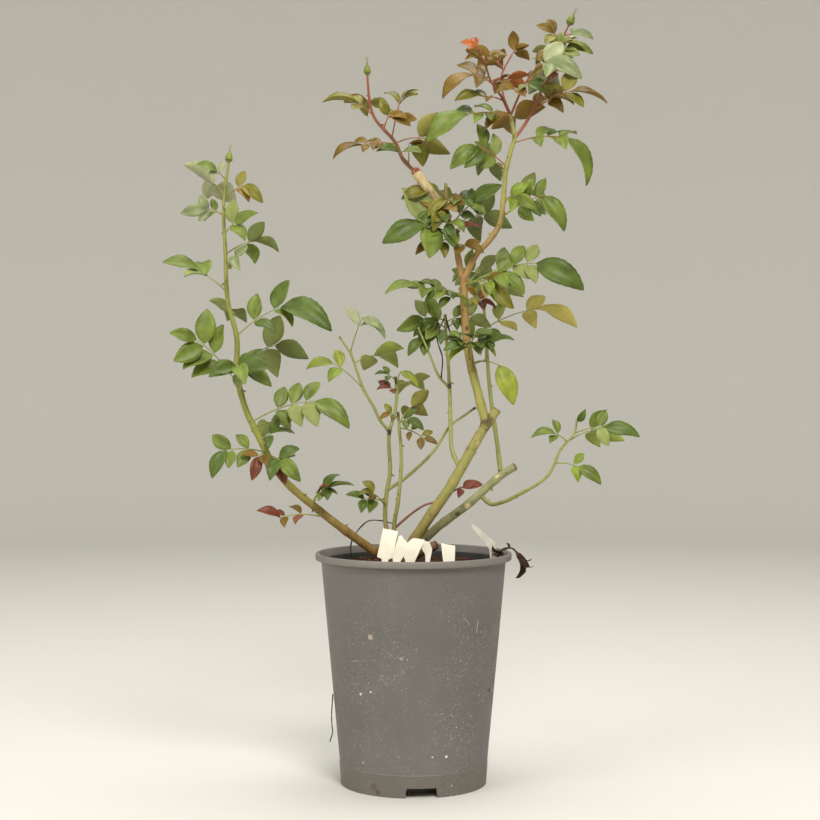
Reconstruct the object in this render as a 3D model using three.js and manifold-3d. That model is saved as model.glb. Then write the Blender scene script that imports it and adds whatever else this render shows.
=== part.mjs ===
// A young rose bush in a nursery pot. Millimetres, +Z up, the origin at the middle of the pot's underside.
// The front of the plant faces -Y.
import * as THREE from "three";
import { mergeVertices } from "three/addons/utils/BufferGeometryUtils.js";
import Module from "manifold-3d";

const wasm = await Module();
wasm.setup();

// Driving sizes of the pot.
const POT_HEIGHT = 223;
const RIM_RADIUS = 95;
const LIP_HEIGHT = 6.5;
const LIP_OVERHANG = 5.5;
const WALL = 1.7;
const FOOT_RADIUS = 70.5;
const SKIRT_HEIGHT = 21.3;
const SKIRT_RADIUS = 72;
const FLOOR_TOP = 10.5;
const GROOVE = { inner: 50, outer: 68.6, height: 8 };
const NOTCH = { count: 3, bearing: -84, top: 28, bottom: 31.5, height: 9.4, from: 60, to: 74 };
const DRAIN = { count: 6, radius: 5, ring: 59, depth: 10, sides: 6 };
const POT_SIDES = 32;

// Driving sizes of what fills the pot.
const GAP = 0.3;
const SOIL_TOP = 211;
const SOIL_FLAT = 80;
const SOIL_SHOULDER = 3;
const CROWN = { x: -14, y: 2, z: 212, radius: 17, flare: 3, flareHeight: 2.4, steps: 5, sides: 16 };
const CROWN_CLEARANCE = 1.022;
const LABEL_THICKNESS = 0.8;
const LABEL_FOOT = SOIL_TOP + GAP;
const DRIED = { stalk: 1.3, sides: 4, bends: 9 };

// Driving sizes of the leaves and the stems that carry them.
const LEAF = { thickness: 0.9, width: 0.6, fold: 0.07, sunk: 0.3 };
const STALK = { foot: 0.95, tip: 0.75, sides: 3, arch: 0.14, bladeAt: 0.97 };
const TILT = [0.35, 1.25];
const SPREAD = [0.85, 1.25];
const DROOP = 0.22;
const MOST_PAIRS = 2;
const STEM = { sides: 5, step: 17, fewest: 3 };
const SPUR_RADII = [1.5, 1.4, 1.2];
const BUD = { sides: 7, rings: 6, slimFrom: 0.6, slimTo: 0.5, sunk: 1 };
const FINEST = 0.01;

const PLASTIC = { color: 0x6b645c, roughness: 0.55, metalness: 0 };
const COMPOST = { color: 0x2c211a, roughness: 0.95, metalness: 0 };
const BARK = { color: 0x8a7a3c, roughness: 0.6, metalness: 0 };
const GREEN = { color: 0x55702f, roughness: 0.5, metalness: 0 };
const DRY = { color: 0x3a2118, roughness: 0.9, metalness: 0 };
const CREAM = { color: 0xf5f0dc, roughness: 0.45, metalness: 0 };

// Every cane: the points that it passes, base first, and its thickness at the base and at the tip. A side
// shoot starts at the surface of the cane that carries it.
const CANES = {
  left: {
    way: [[-26, -5.5, 216], [-57.9, -20, 240.3], [-89.9, -31, 265.9], [-125.3, -40, 298.7],
      [-147.5, -45, 339.5], [-158.7, -46, 364], [-166.2, -47, 397], [-166.2, -47, 429], [-174.8, -46, 464.7],
      [-177.2, -44, 511], [-179.1, -40, 554.7], [-174.9, -36, 596]],
    thick: [9, 2.4],
  },
  middle_left: {
    way: [[-18, 5.3, 223], [-26.7, 9, 246.4], [-27, 12, 273.5], [-22.9, 14, 300.7], [-23.9, 16, 336.7],
      [-17.9, 17, 359.4], [-16.2, 18, 381.7], [-17.9, 18, 393.3]],
    thick: [5, 3],
  },
  middle_right: {
    way: [[-15.6, 2, 223], [-18.9, 0, 247], [-15.2, -4, 270.7], [-11.7, -8, 311.5], [-13.9, -10, 345],
      [-15, -10, 359.4]],
    thick: [4.8, 2.8],
  },
  middle_branch: {
    way: [[-24, 16, 340], [-31.7, 12, 349.5], [-39.3, 6, 365], [-47.3, 2, 378.8], [-53.6, -2, 395.2],
      [-60.3, -6, 414.5], [-71.4, -9, 431.8]],
    thick: [3.4, 2],
  },
  slanting: {
    way: [[-25, 12, 283], [-15.1, 14, 289.2], [0.1, 17, 300.8], [21.1, 20, 321.9], [36.9, 23, 345.8],
      [51.2, 22, 356], [61, 21, 363]],
    thick: [3.4, 2.4],
  },
  red: {
    way: [[-18.6, 0, 246], [-1.5, 2, 260.7], [11.1, 5, 268.5], [21, 7, 271.4], [35.5, 8, 280],
      [47.2, 8, 286]],
    thick: [2.6, 1.6],
  },
  main_low: {
    way: [[-8, -1, 221.5], [16.8, -8, 259.9], [35.7, -12, 287.6], [60.1, -11, 330.8], [69.8, -10, 347]],
    thick: [11, 9.6],
  },
  main_high: {
    way: [[69.3, -10, 349.6], [62.2, -6, 377], [53.7, -1, 413.6], [49.8, 2, 448.5], [48.8, 4, 491.3]],
    thick: [9, 7.4],
  },
  left_crown: {
    way: [[47, 5, 489], [41.3, 8, 518.7], [36.5, 11, 537.5], [32.2, 14, 557.2], [31.5, 18, 582]],
    thick: [6.4, 3.4],
  },
  right_crown: {
    way: [[49.5, 4, 489], [60.9, 0, 511.3], [72.4, -4, 523.6], [82.8, -8, 539.7], [86.1, -10, 560.7],
      [88.4, -11, 589.4], [94.3, -11, 613.4], [96.7, -11, 621.1], [94.3, -10, 636.6], [92.8, -10, 645.3]],
    thick: [6.2, 4],
  },
  stub: { way: [[33.5, 11, 547], [24, 4, 561], [10, -2, 580], [2.4, -4, 590]], thick: [9.4, 8.6] },
  upper_left: {
    way: [[3, -3.8, 589], [-10, -7, 602], [-17.2, -10, 617.4], [-38.3, -15, 642.5], [-43.7, -20, 673.4],
      [-44, -21, 681]],
    thick: [4.2, 2],
  },
  cut: {
    way: [[-6, 7, 219], [26, 20, 247.5], [53.9, 33, 267.1], [87.1, 46, 295], [101.4, 51, 303.7]],
    thick: [8.8, 8],
  },
  back: {
    way: [[87, 47, 296], [84.2, 52, 322.6], [77.3, 56, 372.5], [71.2, 58, 450.4], [69.4, 58, 486.5]],
    thick: [5, 3],
  },
  right_shoot: {
    way: [[66, 37, 276], [76.3, 34, 267.5], [90, 26, 270.6], [105.2, 18, 278.9], [120.2, 10, 288.2],
      [130.7, 6, 297.2], [137.3, 4, 308.9], [142, 2, 321.6], [150.5, 0, 331.8], [155.9, -2, 339.1],
      [157.9, -4, 352.7]],
    thick: [4.4, 2],
  },
  inner: {
    way: [[45, -9, 304], [37.3, 2, 322.7], [36.2, 8, 344.7], [35.2, 13, 381.6], [31.8, 17, 436.4],
      [30.9, 18, 454]],
    thick: [4.6, 2.8],
  },
  inner_side: {
    way: [[34.5, 12.5, 383], [24.8, 8, 393.3], [16.1, 4, 413.7], [4.4, 0, 440.7]],
    thick: [2.8, 1.8],
  },
  crown_left: {
    way: [[91.9, -10.6, 645], [84, -14, 661], [73.8, -18, 675], [69.5, -21, 687], [62.8, -24, 704.2]],
    thick: [2.4, 1.6],
  },
  crown_back: {
    way: [[92.9, -8.8, 645], [86.5, 0, 665], [85.4, 7, 685], [95.5, 14, 706]],
    thick: [2.4, 1.6],
  },
  crown_front: {
    way: [[93.7, -11, 645], [102.9, -18, 666], [113, -24, 682], [120.7, -30, 688.8]],
    thick: [2.4, 1.6],
  },
  crown_right: {
    way: [[97, -9, 622], [105, -6, 632.7], [116.2, 0, 651.6], [122.2, 4, 667.5], [133.3, 8, 686.4],
      [140.7, 11, 712.8], [148.6, 12, 729.8], [151, 12, 735]],
    thick: [3.2, 1.8],
  },
  old_spur: { way: [[-8, -1, 215.5], [4, -7, 222], [21.8, -16, 231.7]], thick: [8, 8.6] },
};

// The bare limbs: the cane that each is a stretch of, and the heights between which it runs.
const LIMBS = [
  { name: "main_cane_lower", cane: "main_low", sides: 9, steps: 6 },
  { name: "main_cane_upper", cane: "main_high", sides: 9, steps: 6 },
  { name: "cut_cane", cane: "cut", sides: 9, steps: 5 },
  { name: "left_cane_lower", cane: "left", to: 265.9, sides: 8, steps: 6 },
  { name: "left_cane_upper", cane: "left", from: 265.9, to: 312, sides: 8, steps: 5 },
  { name: "middle_stem_left", cane: "middle_left", to: 372, sides: 6, steps: 6 },
  { name: "middle_stem_right", cane: "middle_right", to: 335, sides: 6, steps: 7 },
  { name: "middle_branch", cane: "middle_branch", to: 374, sides: 6, steps: 4 },
  { name: "slanting_branch", cane: "slanting", sides: 6, steps: 6 },
  { name: "red_branch", cane: "red", to: 279, sides: 6, steps: 5 },
  { name: "inner_stem", cane: "inner", to: 424, sides: 6, steps: 7 },
  { name: "inner_side_branch", cane: "inner_side", sides: 6, steps: 6 },
  { name: "back_stem", cane: "back", to: 470, sides: 6, steps: 7 },
  { name: "right_shoot_stem", cane: "right_shoot", to: 303, sides: 6, steps: 7 },
  { name: "left_crown_limb", cane: "left_crown", to: 517, sides: 8, steps: 3 },
  { name: "right_crown_limb", cane: "right_crown", to: 540, sides: 8, steps: 5 },
  { name: "crown_stub", cane: "stub", sides: 9, steps: 4 },
  { name: "old_spur", cane: "old_spur", sides: 8, steps: 3 },
];

// Each mass grows on one stem: a further stretch of a cane, or a short spur. A leaf gives the height or the
// share of the stem where it grows, how far its stalk and then its end leaflet reach, its pairs of leaflets
// and their length. The far leaves are placed by the seeded rule.
const MASSES = [
  {
    name: "left_foliage_low", cane: "left", from: 312, to: 372, far: 1,
    leaves: [[321, [-37, -14, 3], [-13, -6, -26], 2, 20], [318, [12, -12, -3], [20, -8, -20], 1, 22],
      [350, [62, -16, 20], [32, -8, -25], 3, 24]],
  },
  {
    name: "left_foliage_middle", cane: "left", from: 372, to: 465, far: 2,
    leaves: [[384, [-39, -14, 44], [-25, -6, 6], 3, 29], [400, [4, -34, 2], [10, -26, -16], 2, 26],
      [431, [43, -10, 27], [48, -10, -22], 2, 26]],
  },
  {
    name: "left_foliage_top", cane: "left", from: 465, far: 2, bud: [7.6, 17],
    leaves: [[472, [-25, -4, 19], [-35, -6, 9], 1, 25], [500, [12, -24, 4], [6, -18, -14], 1, 16],
      [527, [11, -10, 10], [22, -6, 9], 1, 22], [545, [-15, -4, 6], [-25, -4, -5], 2, 14],
      [560, [18, -8, 12], [20, -4, -16], 1, 18], [578, [-8, -4, 8], [-20, -2, 7], 1, 12]],
  },
  {
    name: "left_low_leaf", spur: [[-88, -30.4, 264], [-90, -39, 261]],
    leaves: [[1, [-36, -8, -1], [-22, -6, 7], 2, 15]],
  },
  {
    name: "left_bent_leaf", spur: [[-96, -32.6, 270.6], [-93, -40, 279]],
    leaves: [[1, [11, -6, 8], [26, -6, 4], 1, 18]],
  },
  {
    name: "middle_low_leaf", spur: [[-27, 11.5, 268], [-31, 5, 273]],
    leaves: [[1, [-18, -8, 1], [-17, -4, 5], 2, 17]],
  },
  {
    name: "middle_left_foliage", cane: "middle_branch", from: 374, far: 1,
    leaves: [[380, [-30, -8, 26], [-26, -6, -6], 1, 18], [416, [12, -6, 34], [22, -8, -20], 1, 23]],
  },
  {
    name: "middle_foliage", cane: "middle_left", from: 372, far: 1,
    leaves: [[386, [4, -8, 12], [17, -6, -15], 0, 16], [389, [-8, -6, 6], [-13, -4, 0], 1, 10],
      [378, [-6, -10, 4], [-14, -4, -2], 1, 12]],
  },
  {
    name: "middle_right_foliage", cane: "middle_right", from: 335, far: 1,
    leaves: [[344, [24, -8, -10], [13, -2, -6], 2, 11], [352, [-8, -10, 6], [-10, -5, -6], 1, 10]],
  },
  {
    name: "red_branch_foliage", cane: "red", from: 279, far: 1,
    leaves: [[285, [2, -3, 0], [20, 2, 3], 1, 12]],
  },
  {
    name: "inner_foliage", cane: "inner", from: 424, far: 1,
    leaves: [[448, [-22, -4, 2], [-26, -9, -12], 2, 22], [430, [-24, -8, 0], [-14, -6, -17], 1, 19]],
  },
  {
    name: "cane_left_foliage", spur: [[49.6, 2.8, 470], [43, -6, 473]],
    leaves: [[1, [-36, -12, 4], [-35, -6, -5], 3, 20]],
  },
  {
    name: "cane_front_foliage", spur: [[53.2, -1, 416], [54, -14, 420]],
    leaves: [[0.75, [-2, -8, 2], [-18, -8, -14], 0, 18], [1, [18, -8, 6], [24, -6, 2], 2, 18],
      [0.9, [-10, -8, 8], [-14, -4, 3], 1, 16]],
  },
  {
    name: "yellow_leaf", spur: [[51.6, 0.5, 429], [58, 5, 432]],
    leaves: [[1, [62, 4, 27], [41, 6, -18], 2, 23]],
  },
  {
    name: "hanging_leaf", spur: [[55.5, -2.2, 405], [64, -9, 408]],
    leaves: [[1, [18, -6, -4], [14, -4, -38], 0, 16]],
  },
  {
    name: "cane_right_foliage", spur: [[49.6, 2.6, 460], [58, -2, 463]],
    leaves: [[0.9, [8, -5, 4], [14, -4, -8], 1, 13], [0.8, [3, -8, 9], [-10, -6, 8], 1, 12]],
  },
  {
    name: "fork_foliage", spur: [[49, 4, 482], [57, -7, 484]], far: 1,
    leaves: [[0.95, [62, -9, 18], [45, -6, -26], 3, 23], [0.85, [18, -14, -2], [22, -8, -24], 1, 18]],
  },
  {
    name: "left_crown_foliage", cane: "left_crown", from: 517, far: 2,
    leaves: [[539, [23, -12, 23], [26, -6, 16], 2, 16], [530, [-28, -20, 8], [-41, -6, -17], 1, 40],
      [526, [-18, -14, -4], [-20, -4, -12], 1, 18], [572, [0, -18, -8], [-18, -8, -18], 1, 17],
      [534, [8, -12, 2], [21, -4, 0], 1, 14], [521, [9, -14, -2], [18, -4, -7], 1, 15]],
  },
  {
    name: "right_crown_foliage", cane: "right_crown", from: 540, to: 607, far: 2,
    leaves: [[546, [40, -10, 20], [20, -4, -34], 3, 20], [594, [-27, -12, 18], [-28, -6, -22], 2, 24]],
  },
  {
    name: "crown_foliage", cane: "right_crown", from: 607, far: 2,
    leaves: [[617, [50, -10, 4], [20, -2, -46], 3, 20], [636, [-6, -12, 8], [-21, -6, -18], 0, 20],
      [642, [-42, -18, 0], [-40, -8, -27], 2, 21]],
  },
  {
    name: "upper_left_foliage", cane: "upper_left", far: 2, bud: [6.6, 12],
    leaves: [[642, [-15, -6, 11], [-34, -4, 1], 1, 18], [622, [9, -6, 38], [17, -3, 7], 2, 21],
      [616, [-32, -8, -2], [-29, -6, -14], 3, 14], [603, [-3, -12, 5], [-19, -8, 2], 1, 20],
      [596, [0, -6, 20], [19, -5, -1], 1, 17]],
  },
  {
    name: "crown_left_foliage", cane: "crown_left", far: 1,
    leaves: [[703, [-4, -2, 4], [-15, -2, 3], 1, 12], [695, [-4, -5, 2], [-14, -2, -4], 1, 9],
      [692, [5, -5, 5], [16, -4, 0], 1, 13], [673, [-18, -8, 7], [-30, -6, -24], 2, 24],
      [671, [6, -8, 4], [10, -4, 4], 1, 9], [657, [-20, -14, 2], [-28, -6, -5], 1, 14]],
  },
  {
    name: "crown_back_foliage", cane: "crown_back", far: 2,
    leaves: [[703, [5, 2, 8], [14, 2, 5], 1, 17], [690, [-6, -2, 10], [-10, 4, 6], 1, 13]],
  },
  {
    name: "crown_front_foliage", cane: "crown_front", far: 1,
    leaves: [[687, [6, -6, 3], [34, -6, -16], 1, 24], [668, [6, -12, 2], [14, -6, -10], 1, 14],
      [664, [-6, -10, 2], [-20, -6, -6], 1, 17]],
  },
  {
    name: "crown_right_foliage", cane: "crown_right", far: 2, bud: [7.8, 18],
    leaves: [[649, [37, -10, 18], [34, -4, -12], 2, 23], [697, [9, -6, 12], [28, -2, -4], 1, 19],
      [702, [-4, -6, 8], [-16, -4, -16], 1, 14], [720, [-8, -2, 6], [-17, 0, 8], 1, 16],
      [724, [8, -2, 1], [21, 2, -4], 1, 11], [684, [6, -8, 4], [20, -4, -8], 1, 13]],
  },
  {
    name: "right_shoot_foliage", cane: "right_shoot", from: 303, far: 1,
    leaves: [[309, [22, -6, -3], [22, -4, -17], 1, 16], [338, [29, -4, 6], [34, -2, -9], 1, 18],
      [345, [1, -6, 5], [7, -6, 12], 0, 12], [330, [-12, -6, 8], [-24, -4, -4], 1, 13]],
  },
  {
    name: "back_foliage", cane: "back", from: 470, far: 2,
    leaves: [[480, [-14, 16, 20], [-16, 14, -10], 2, 20]],
  },
];

// Blank labels: the corners of each plate, seen from the front as x and z, and how far back it stands.
const LABELS = [
  {
    name: "label_left", back: -30,
    corners: [[-29, 248.7], [-14.8, 245.9], [-24.4, LABEL_FOOT], [-37, LABEL_FOOT]],
  },
  {
    name: "label_ragged", back: -36,
    corners: [[-14.8, 245.4], [-4.7, 238.3], [-0.1, 242.5], [10.3, 239.3], [0.4, LABEL_FOOT],
      [-7.4, LABEL_FOOT], [-10.5, 226.6], [-15.9, LABEL_FOOT], [-23.4, LABEL_FOOT]],
  },
  {
    name: "label_small", back: -30,
    corners: [[10.5, 236.9], [15.3, 236.9], [18, 228.8], [16, LABEL_FOOT], [11, LABEL_FOOT], [8, 230.2]],
  },
  {
    name: "label_right", back: -31,
    corners: [[26.1, 234.5], [39.4, 232.2], [37, LABEL_FOOT], [30, LABEL_FOOT]],
  },
  {
    name: "label_bent", back: -5,
    corners: [[55.7, 250.1], [66.9, 243.3], [79.9, 231.7], [80.7, LABEL_FOOT], [74.6, LABEL_FOOT],
      [73.8, 226.9]],
  },
];

const group = new THREE.Group();

// A small seeded generator, so that the plant is the same every time.
function seeded(seed) {
  let state = Math.imul(seed, 2654435761) >>> 0;
  const next = () => {
    state = (Math.imul(state, 1664525) + 1013904223) >>> 0;
    return state / 4294967296;
  };
  next();
  next();
  return next;
}

const vector = ([x, y, z]) => new THREE.Vector3(x, y, z);
const mix = (a, b, share) => a + (b - a) * share;

// A closed geometry as a solid that can be joined and cut.
function toSolid(geometry) {
  const bare = geometry.clone();
  bare.deleteAttribute("normal");
  bare.deleteAttribute("uv");
  const merged = mergeVertices(bare, 1e-4);
  return new wasm.Manifold(new wasm.Mesh({
    numProp: 3,
    vertProperties: new Float32Array(merged.attributes.position.array),
    triVerts: new Uint32Array(merged.index.array),
  }));
}

function toGeometry(solid) {
  const mesh = solid.getMesh();
  const geometry = new THREE.BufferGeometry();
  geometry.setAttribute("position", new THREE.BufferAttribute(mesh.vertProperties, 3));
  geometry.setIndex(new THREE.BufferAttribute(mesh.triVerts, 1));
  geometry.computeVertexNormals();
  return geometry;
}

// Of a solid that a cut left in several pieces, the largest.
function largest(solid) {
  return solid.decompose().sort((a, b) => b.volume() - a.volume())[0];
}

function addPart(name, solid, finish) {
  const mesh = new THREE.Mesh(toGeometry(solid), new THREE.MeshStandardMaterial(finish));
  mesh.name = name;
  group.add(mesh);
}

function boxesMeet(a, b) {
  const first = a.boundingBox();
  const second = b.boundingBox();
  return [0, 1, 2].every((axis) => first.min[axis] < second.max[axis] && second.min[axis] < first.max[axis]);
}

function touches(solid, others) {
  return others.some((other) => boxesMeet(solid, other) && solid.intersect(other).volume() > 0);
}

// A solid without what the others take up.
function without(solid, others) {
  return others.reduce((left, other) => (boxesMeet(left, other) ? left.subtract(other) : left), solid);
}

// A section of radius and height pairs, turned about the upright axis.
function turned(section, sides) {
  const geometry = new THREE.LatheGeometry(section.map(([r, z]) => new THREE.Vector2(r, z)), sides);
  return geometry.rotateX(Math.PI / 2);
}

// A tapering limb: a cylinder bent along its way.
function limbGeometry(points, radii, sides) {
  const steps = points.length - 1;
  const frames = new THREE.CatmullRomCurve3(points).computeFrenetFrames(steps, false);
  const geometry = new THREE.CylinderGeometry(1, 1, 1, sides, steps);
  const place = geometry.attributes.position;
  for (let i = 0; i < place.count; i += 1) {
    const step = Math.round((place.getY(i) + 0.5) * steps);
    const spot = points[step].clone();
    spot.addScaledVector(frames.binormals[step], place.getX(i) * radii[step]);
    spot.addScaledVector(frames.normals[step], place.getZ(i) * radii[step]);
    place.setXYZ(i, spot.x, spot.y, spot.z);
  }
  return geometry;
}

const curves = Object.fromEntries(
  Object.entries(CANES).map(([name, cane]) => [name, new THREE.CatmullRomCurve3(cane.way.map(vector))]),
);

// The share of a cane's length at which it reaches a height.
function shareAt(curve, height) {
  let low = 0;
  let high = 1;
  for (let i = 0; i < 24; i += 1) {
    const middle = (low + high) / 2;
    if (curve.getPointAt(middle).z < height) low = middle;
    else high = middle;
  }
  return low;
}

// A stretch of a cane between two heights, its cut ends drawn back so that the next stretch stands clear, and
// thicker all over by grow.
function stretch(part, sides, steps, grow = 0) {
  const curve = curves[part.cane];
  const trim = (GAP * 0.6 - grow) / curve.getLength();
  const from = part.from ? shareAt(curve, part.from) + trim : 0;
  const to = part.to ? shareAt(curve, part.to) - trim : 1;
  const points = [];
  const radii = [];
  for (let i = 0; i <= steps; i += 1) {
    const share = mix(from, to, i / steps);
    points.push(curve.getPointAt(share));
    radii.push(mix(...CANES[part.cane].thick, share) / 2 + grow);
  }
  return toSolid(limbGeometry(points, radii, sides));
}

// A leaflet: a thin four-cornered lens, folded along its midrib. Its root is inside the stalk.
function leaflet(root, heading, up, length, grow = 0) {
  const along = heading.clone().normalize();
  const normal = up.clone().addScaledVector(along, -up.dot(along)).normalize();
  const side = along.clone().cross(normal);
  const fold = LEAF.fold * length;
  const geometry = new THREE.SphereGeometry(1, 4, 2);
  const place = geometry.attributes.position;
  for (let i = 0; i < place.count; i += 1) {
    const share = (place.getX(i) + 1) / 2;
    const across = (place.getZ(i) * length * LEAF.width) / 2;
    const onRib = Math.abs(place.getZ(i)) < 0.01;
    const height = place.getY(i) * (LEAF.thickness / 2 + grow) - (onRib ? fold : 0);
    const spot = root.clone().addScaledVector(along, share * (length + LEAF.sunk + grow) - LEAF.sunk);
    if (!onRib) spot.addScaledVector(side, across + Math.sign(across) * grow);
    spot.addScaledVector(normal, height + fold);
    place.setXYZ(i, spot.x, spot.y, spot.z);
  }
  return toSolid(geometry);
}

// The two straight lengths of a leaf's stalk, which rises and then levels out.
function stalkPoints(root, stalk) {
  const end = root.clone().add(stalk);
  const arch = root.clone().lerp(end, 0.5).add(new THREE.Vector3(0, 0, stalk.length() * STALK.arch));
  const curve = new THREE.QuadraticBezierCurve3(root, arch, end);
  return { curve, points: curve.getPoints(2) };
}

function onStalk([foot, middle, end], share) {
  return share < 0.5 ? foot.clone().lerp(middle, share * 2) : middle.clone().lerp(end, share * 2 - 1);
}

function stalkSolid(points, grow) {
  const radii = [0, 0.5, 1].map((share) => mix(STALK.foot, STALK.tip, share) + grow);
  return toSolid(limbGeometry(points, radii, STALK.sides));
}

// One rose leaf: a stalk, pairs of leaflets on it and one at its end. It is null where it would touch what is
// taken, and a leaflet of a pair that would touch is left off.
function roseLeaf(root, stalk, blade, mostPairs, size, random, taken) {
  const pairs = Math.min(mostPairs, MOST_PAIRS);
  const { curve, points } = stalkPoints(root, stalk);
  if (touches(stalkSolid(points, GAP), taken)) return null;
  const outward = new THREE.Vector3(0, Math.sign(stalk.y + blade.y) || -1, 0);
  const tilt = mix(...TILT, random());
  const up = new THREE.Vector3(0, 0, Math.cos(tilt)).addScaledVector(outward, Math.sin(tilt));
  const pieces = [stalkSolid(points, 0)];
  const grow = (where, heading, length) => {
    if (touches(leaflet(where, heading, up, length, GAP), taken)) return false;
    pieces.push(leaflet(where, heading, up, length));
    return true;
  };
  if (!grow(onStalk(points, STALK.bladeAt), blade, blade.length())) return null;
  for (let pair = 0; pair < pairs; pair += 1) {
    const share = mix(pairs > 1 ? 0.42 : 0.7, 0.84, pairs > 1 ? pair / (pairs - 1) : 0.5);
    const where = onStalk(points, share);
    const along = curve.getTangent(share);
    const side = along.clone().cross(up).normalize();
    for (const hand of [1, -1]) {
      const spread = mix(...SPREAD, random());
      const heading = along.clone().multiplyScalar(Math.cos(spread));
      heading.addScaledVector(side, hand * Math.sin(spread));
      heading.z -= DROOP * random();
      grow(where, heading, size * mix(0.82, 1.08, random()) * mix(0.84, 1, share));
    }
  }
  return pieces;
}

// The rose leaves on the far side of a mass, by a seeded rule: each turns two fifths of the way round from
// the last, kept to the half that faces away from the front.
function farLeaves(count, random) {
  const leaves = [];
  for (let i = 0; i < count; i += 1) {
    const bearing = mix(0.15, 0.85, (i * 0.4 + random() * 0.3) % 1) * Math.PI;
    const reach = mix(27, 42, random());
    const heading = new THREE.Vector3(Math.cos(bearing), Math.sin(bearing), mix(0.1, 0.5, random()));
    leaves.push({
      share: mix(0.12, 0.95, (i + 0.5) / count),
      stalk: heading.clone().multiplyScalar(reach),
      blade: heading.clone().setZ(-0.35).multiplyScalar(reach * 0.85),
      pairs: 1,
      size: reach * 0.7,
    });
  }
  return leaves;
}

// A closed bud: a stretched sphere that ends in the drawn-out tips of its sepals.
function bud(tip, heading, [width, height]) {
  const geometry = new THREE.SphereGeometry(1, BUD.sides, BUD.rings);
  geometry.rotateX(Math.PI / 2);
  const place = geometry.attributes.position;
  const upright = new THREE.Vector3(0, 0, 1);
  const turn = new THREE.Quaternion().setFromUnitVectors(upright, heading.clone().normalize());
  for (let i = 0; i < place.count; i += 1) {
    const share = (place.getZ(i) + 1) / 2;
    const past = Math.max(0, (share - BUD.slimFrom) / (1 - BUD.slimFrom));
    const across = (width / 2) * mix(1, BUD.slimTo, past);
    const spot = new THREE.Vector3(place.getX(i) * across, place.getY(i) * across, share * height - BUD.sunk);
    spot.applyQuaternion(turn).add(tip);
    place.setXYZ(i, spot.x, spot.y, spot.z);
  }
  return toSolid(geometry);
}

// The shares of its curve between which a mass grows.
function reachOf(mass, curve) {
  return [mass.from ? shareAt(curve, mass.from) : 0, mass.to ? shareAt(curve, mass.to) : 1];
}

function stemSteps(mass) {
  const curve = curves[mass.cane];
  const [from, to] = reachOf(mass, curve);
  return Math.max(STEM.fewest, Math.round((curve.getLength() * (to - from)) / STEM.step));
}

function massSolid(mass, number, limbs, taken) {
  const curve = mass.spur ? new THREE.LineCurve3(...mass.spur.map(vector)) : curves[mass.cane];
  const [from, to] = reachOf(mass, curve);
  const stem = mass.spur
    ? toSolid(limbGeometry(curve.getPoints(2), SPUR_RADII, STEM.sides))
    : stretch(mass, STEM.sides, stemSteps(mass));
  const pieces = [stem];
  const named = mass.leaves.map(([at, stalk, blade, pairs, size]) => ({
    share: mass.spur ? at : shareAt(curve, at), stalk: vector(stalk), blade: vector(blade), pairs, size,
  }));
  const far = farLeaves(mass.far ?? 0, seeded(number * 100 + 99));
  far.forEach((leaf) => { leaf.share = mix(from, to, leaf.share); });
  [...named, ...far].forEach((leaf, i) => {
    const root = curve.getPointAt(leaf.share);
    const random = seeded(number * 100 + i + 1);
    const grown = roseLeaf(root, leaf.stalk, leaf.blade, leaf.pairs, leaf.size, random, taken);
    if (grown) pieces.push(...grown);
  });
  if (mass.bud) pieces.push(bud(curve.getPointAt(1), curve.getTangentAt(1), mass.bud));
  return largest(without(wasm.Manifold.union(pieces).simplify(FINEST), limbs));
}

// The pot, turned about its axis: foot ring, groove, flat underside, skirt, tapering wall and rolled lip.
function potSolid() {
  const lipBottom = POT_HEIGHT - LIP_HEIGHT;
  const neck = RIM_RADIUS - LIP_OVERHANG;
  const profile = [
    [0, 0], [GROOVE.inner, 0], [GROOVE.inner + 1, GROOVE.height], [GROOVE.outer, GROOVE.height],
    [GROOVE.outer, 0], [FOOT_RADIUS, 0], [SKIRT_RADIUS, SKIRT_HEIGHT],
    [SKIRT_RADIUS - 0.5, SKIRT_HEIGHT + 0.5], [neck, lipBottom], [RIM_RADIUS - 0.6, lipBottom],
    [RIM_RADIUS, lipBottom + 1], [RIM_RADIUS, POT_HEIGHT - 1], [RIM_RADIUS - 1, POT_HEIGHT],
    [RIM_RADIUS - 3.4, POT_HEIGHT], [neck - WALL, lipBottom - 2], [SKIRT_RADIUS - WALL, FLOOR_TOP],
    [0, FLOOR_TOP],
  ];
  return without(toSolid(turned(profile, POT_SIDES)), [...notches(), ...drainHoles()]);
}

// What the notches through the foot ring cut away.
function notches() {
  const below = -2;
  const outline = [[-NOTCH.bottom, below], [NOTCH.bottom, below], [NOTCH.top, NOTCH.height],
    [-NOTCH.top, NOTCH.height]];
  const shape = new THREE.Shape(outline.map(([x, y]) => new THREE.Vector2(x / 2, y)));
  return Array.from({ length: NOTCH.count }, (_, i) => {
    const cutter = new THREE.ExtrudeGeometry(shape, { depth: NOTCH.to - NOTCH.from, bevelEnabled: false });
    cutter.rotateX(Math.PI / 2);
    cutter.translate(0, -NOTCH.from, 0);
    cutter.rotateZ(THREE.MathUtils.degToRad(NOTCH.bearing + 90 + (360 / NOTCH.count) * i));
    return toSolid(cutter);
  });
}

function drainHoles() {
  return Array.from({ length: DRAIN.count }, (_, i) => {
    const hole = new THREE.CylinderGeometry(DRAIN.radius, DRAIN.radius, DRAIN.depth, DRAIN.sides);
    hole.rotateX(Math.PI / 2);
    hole.translate(DRAIN.ring, 0, GROOVE.height + 2);
    hole.rotateZ((Math.PI * 2 * (i + 0.25)) / DRAIN.count);
    return toSolid(hole);
  });
}

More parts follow.
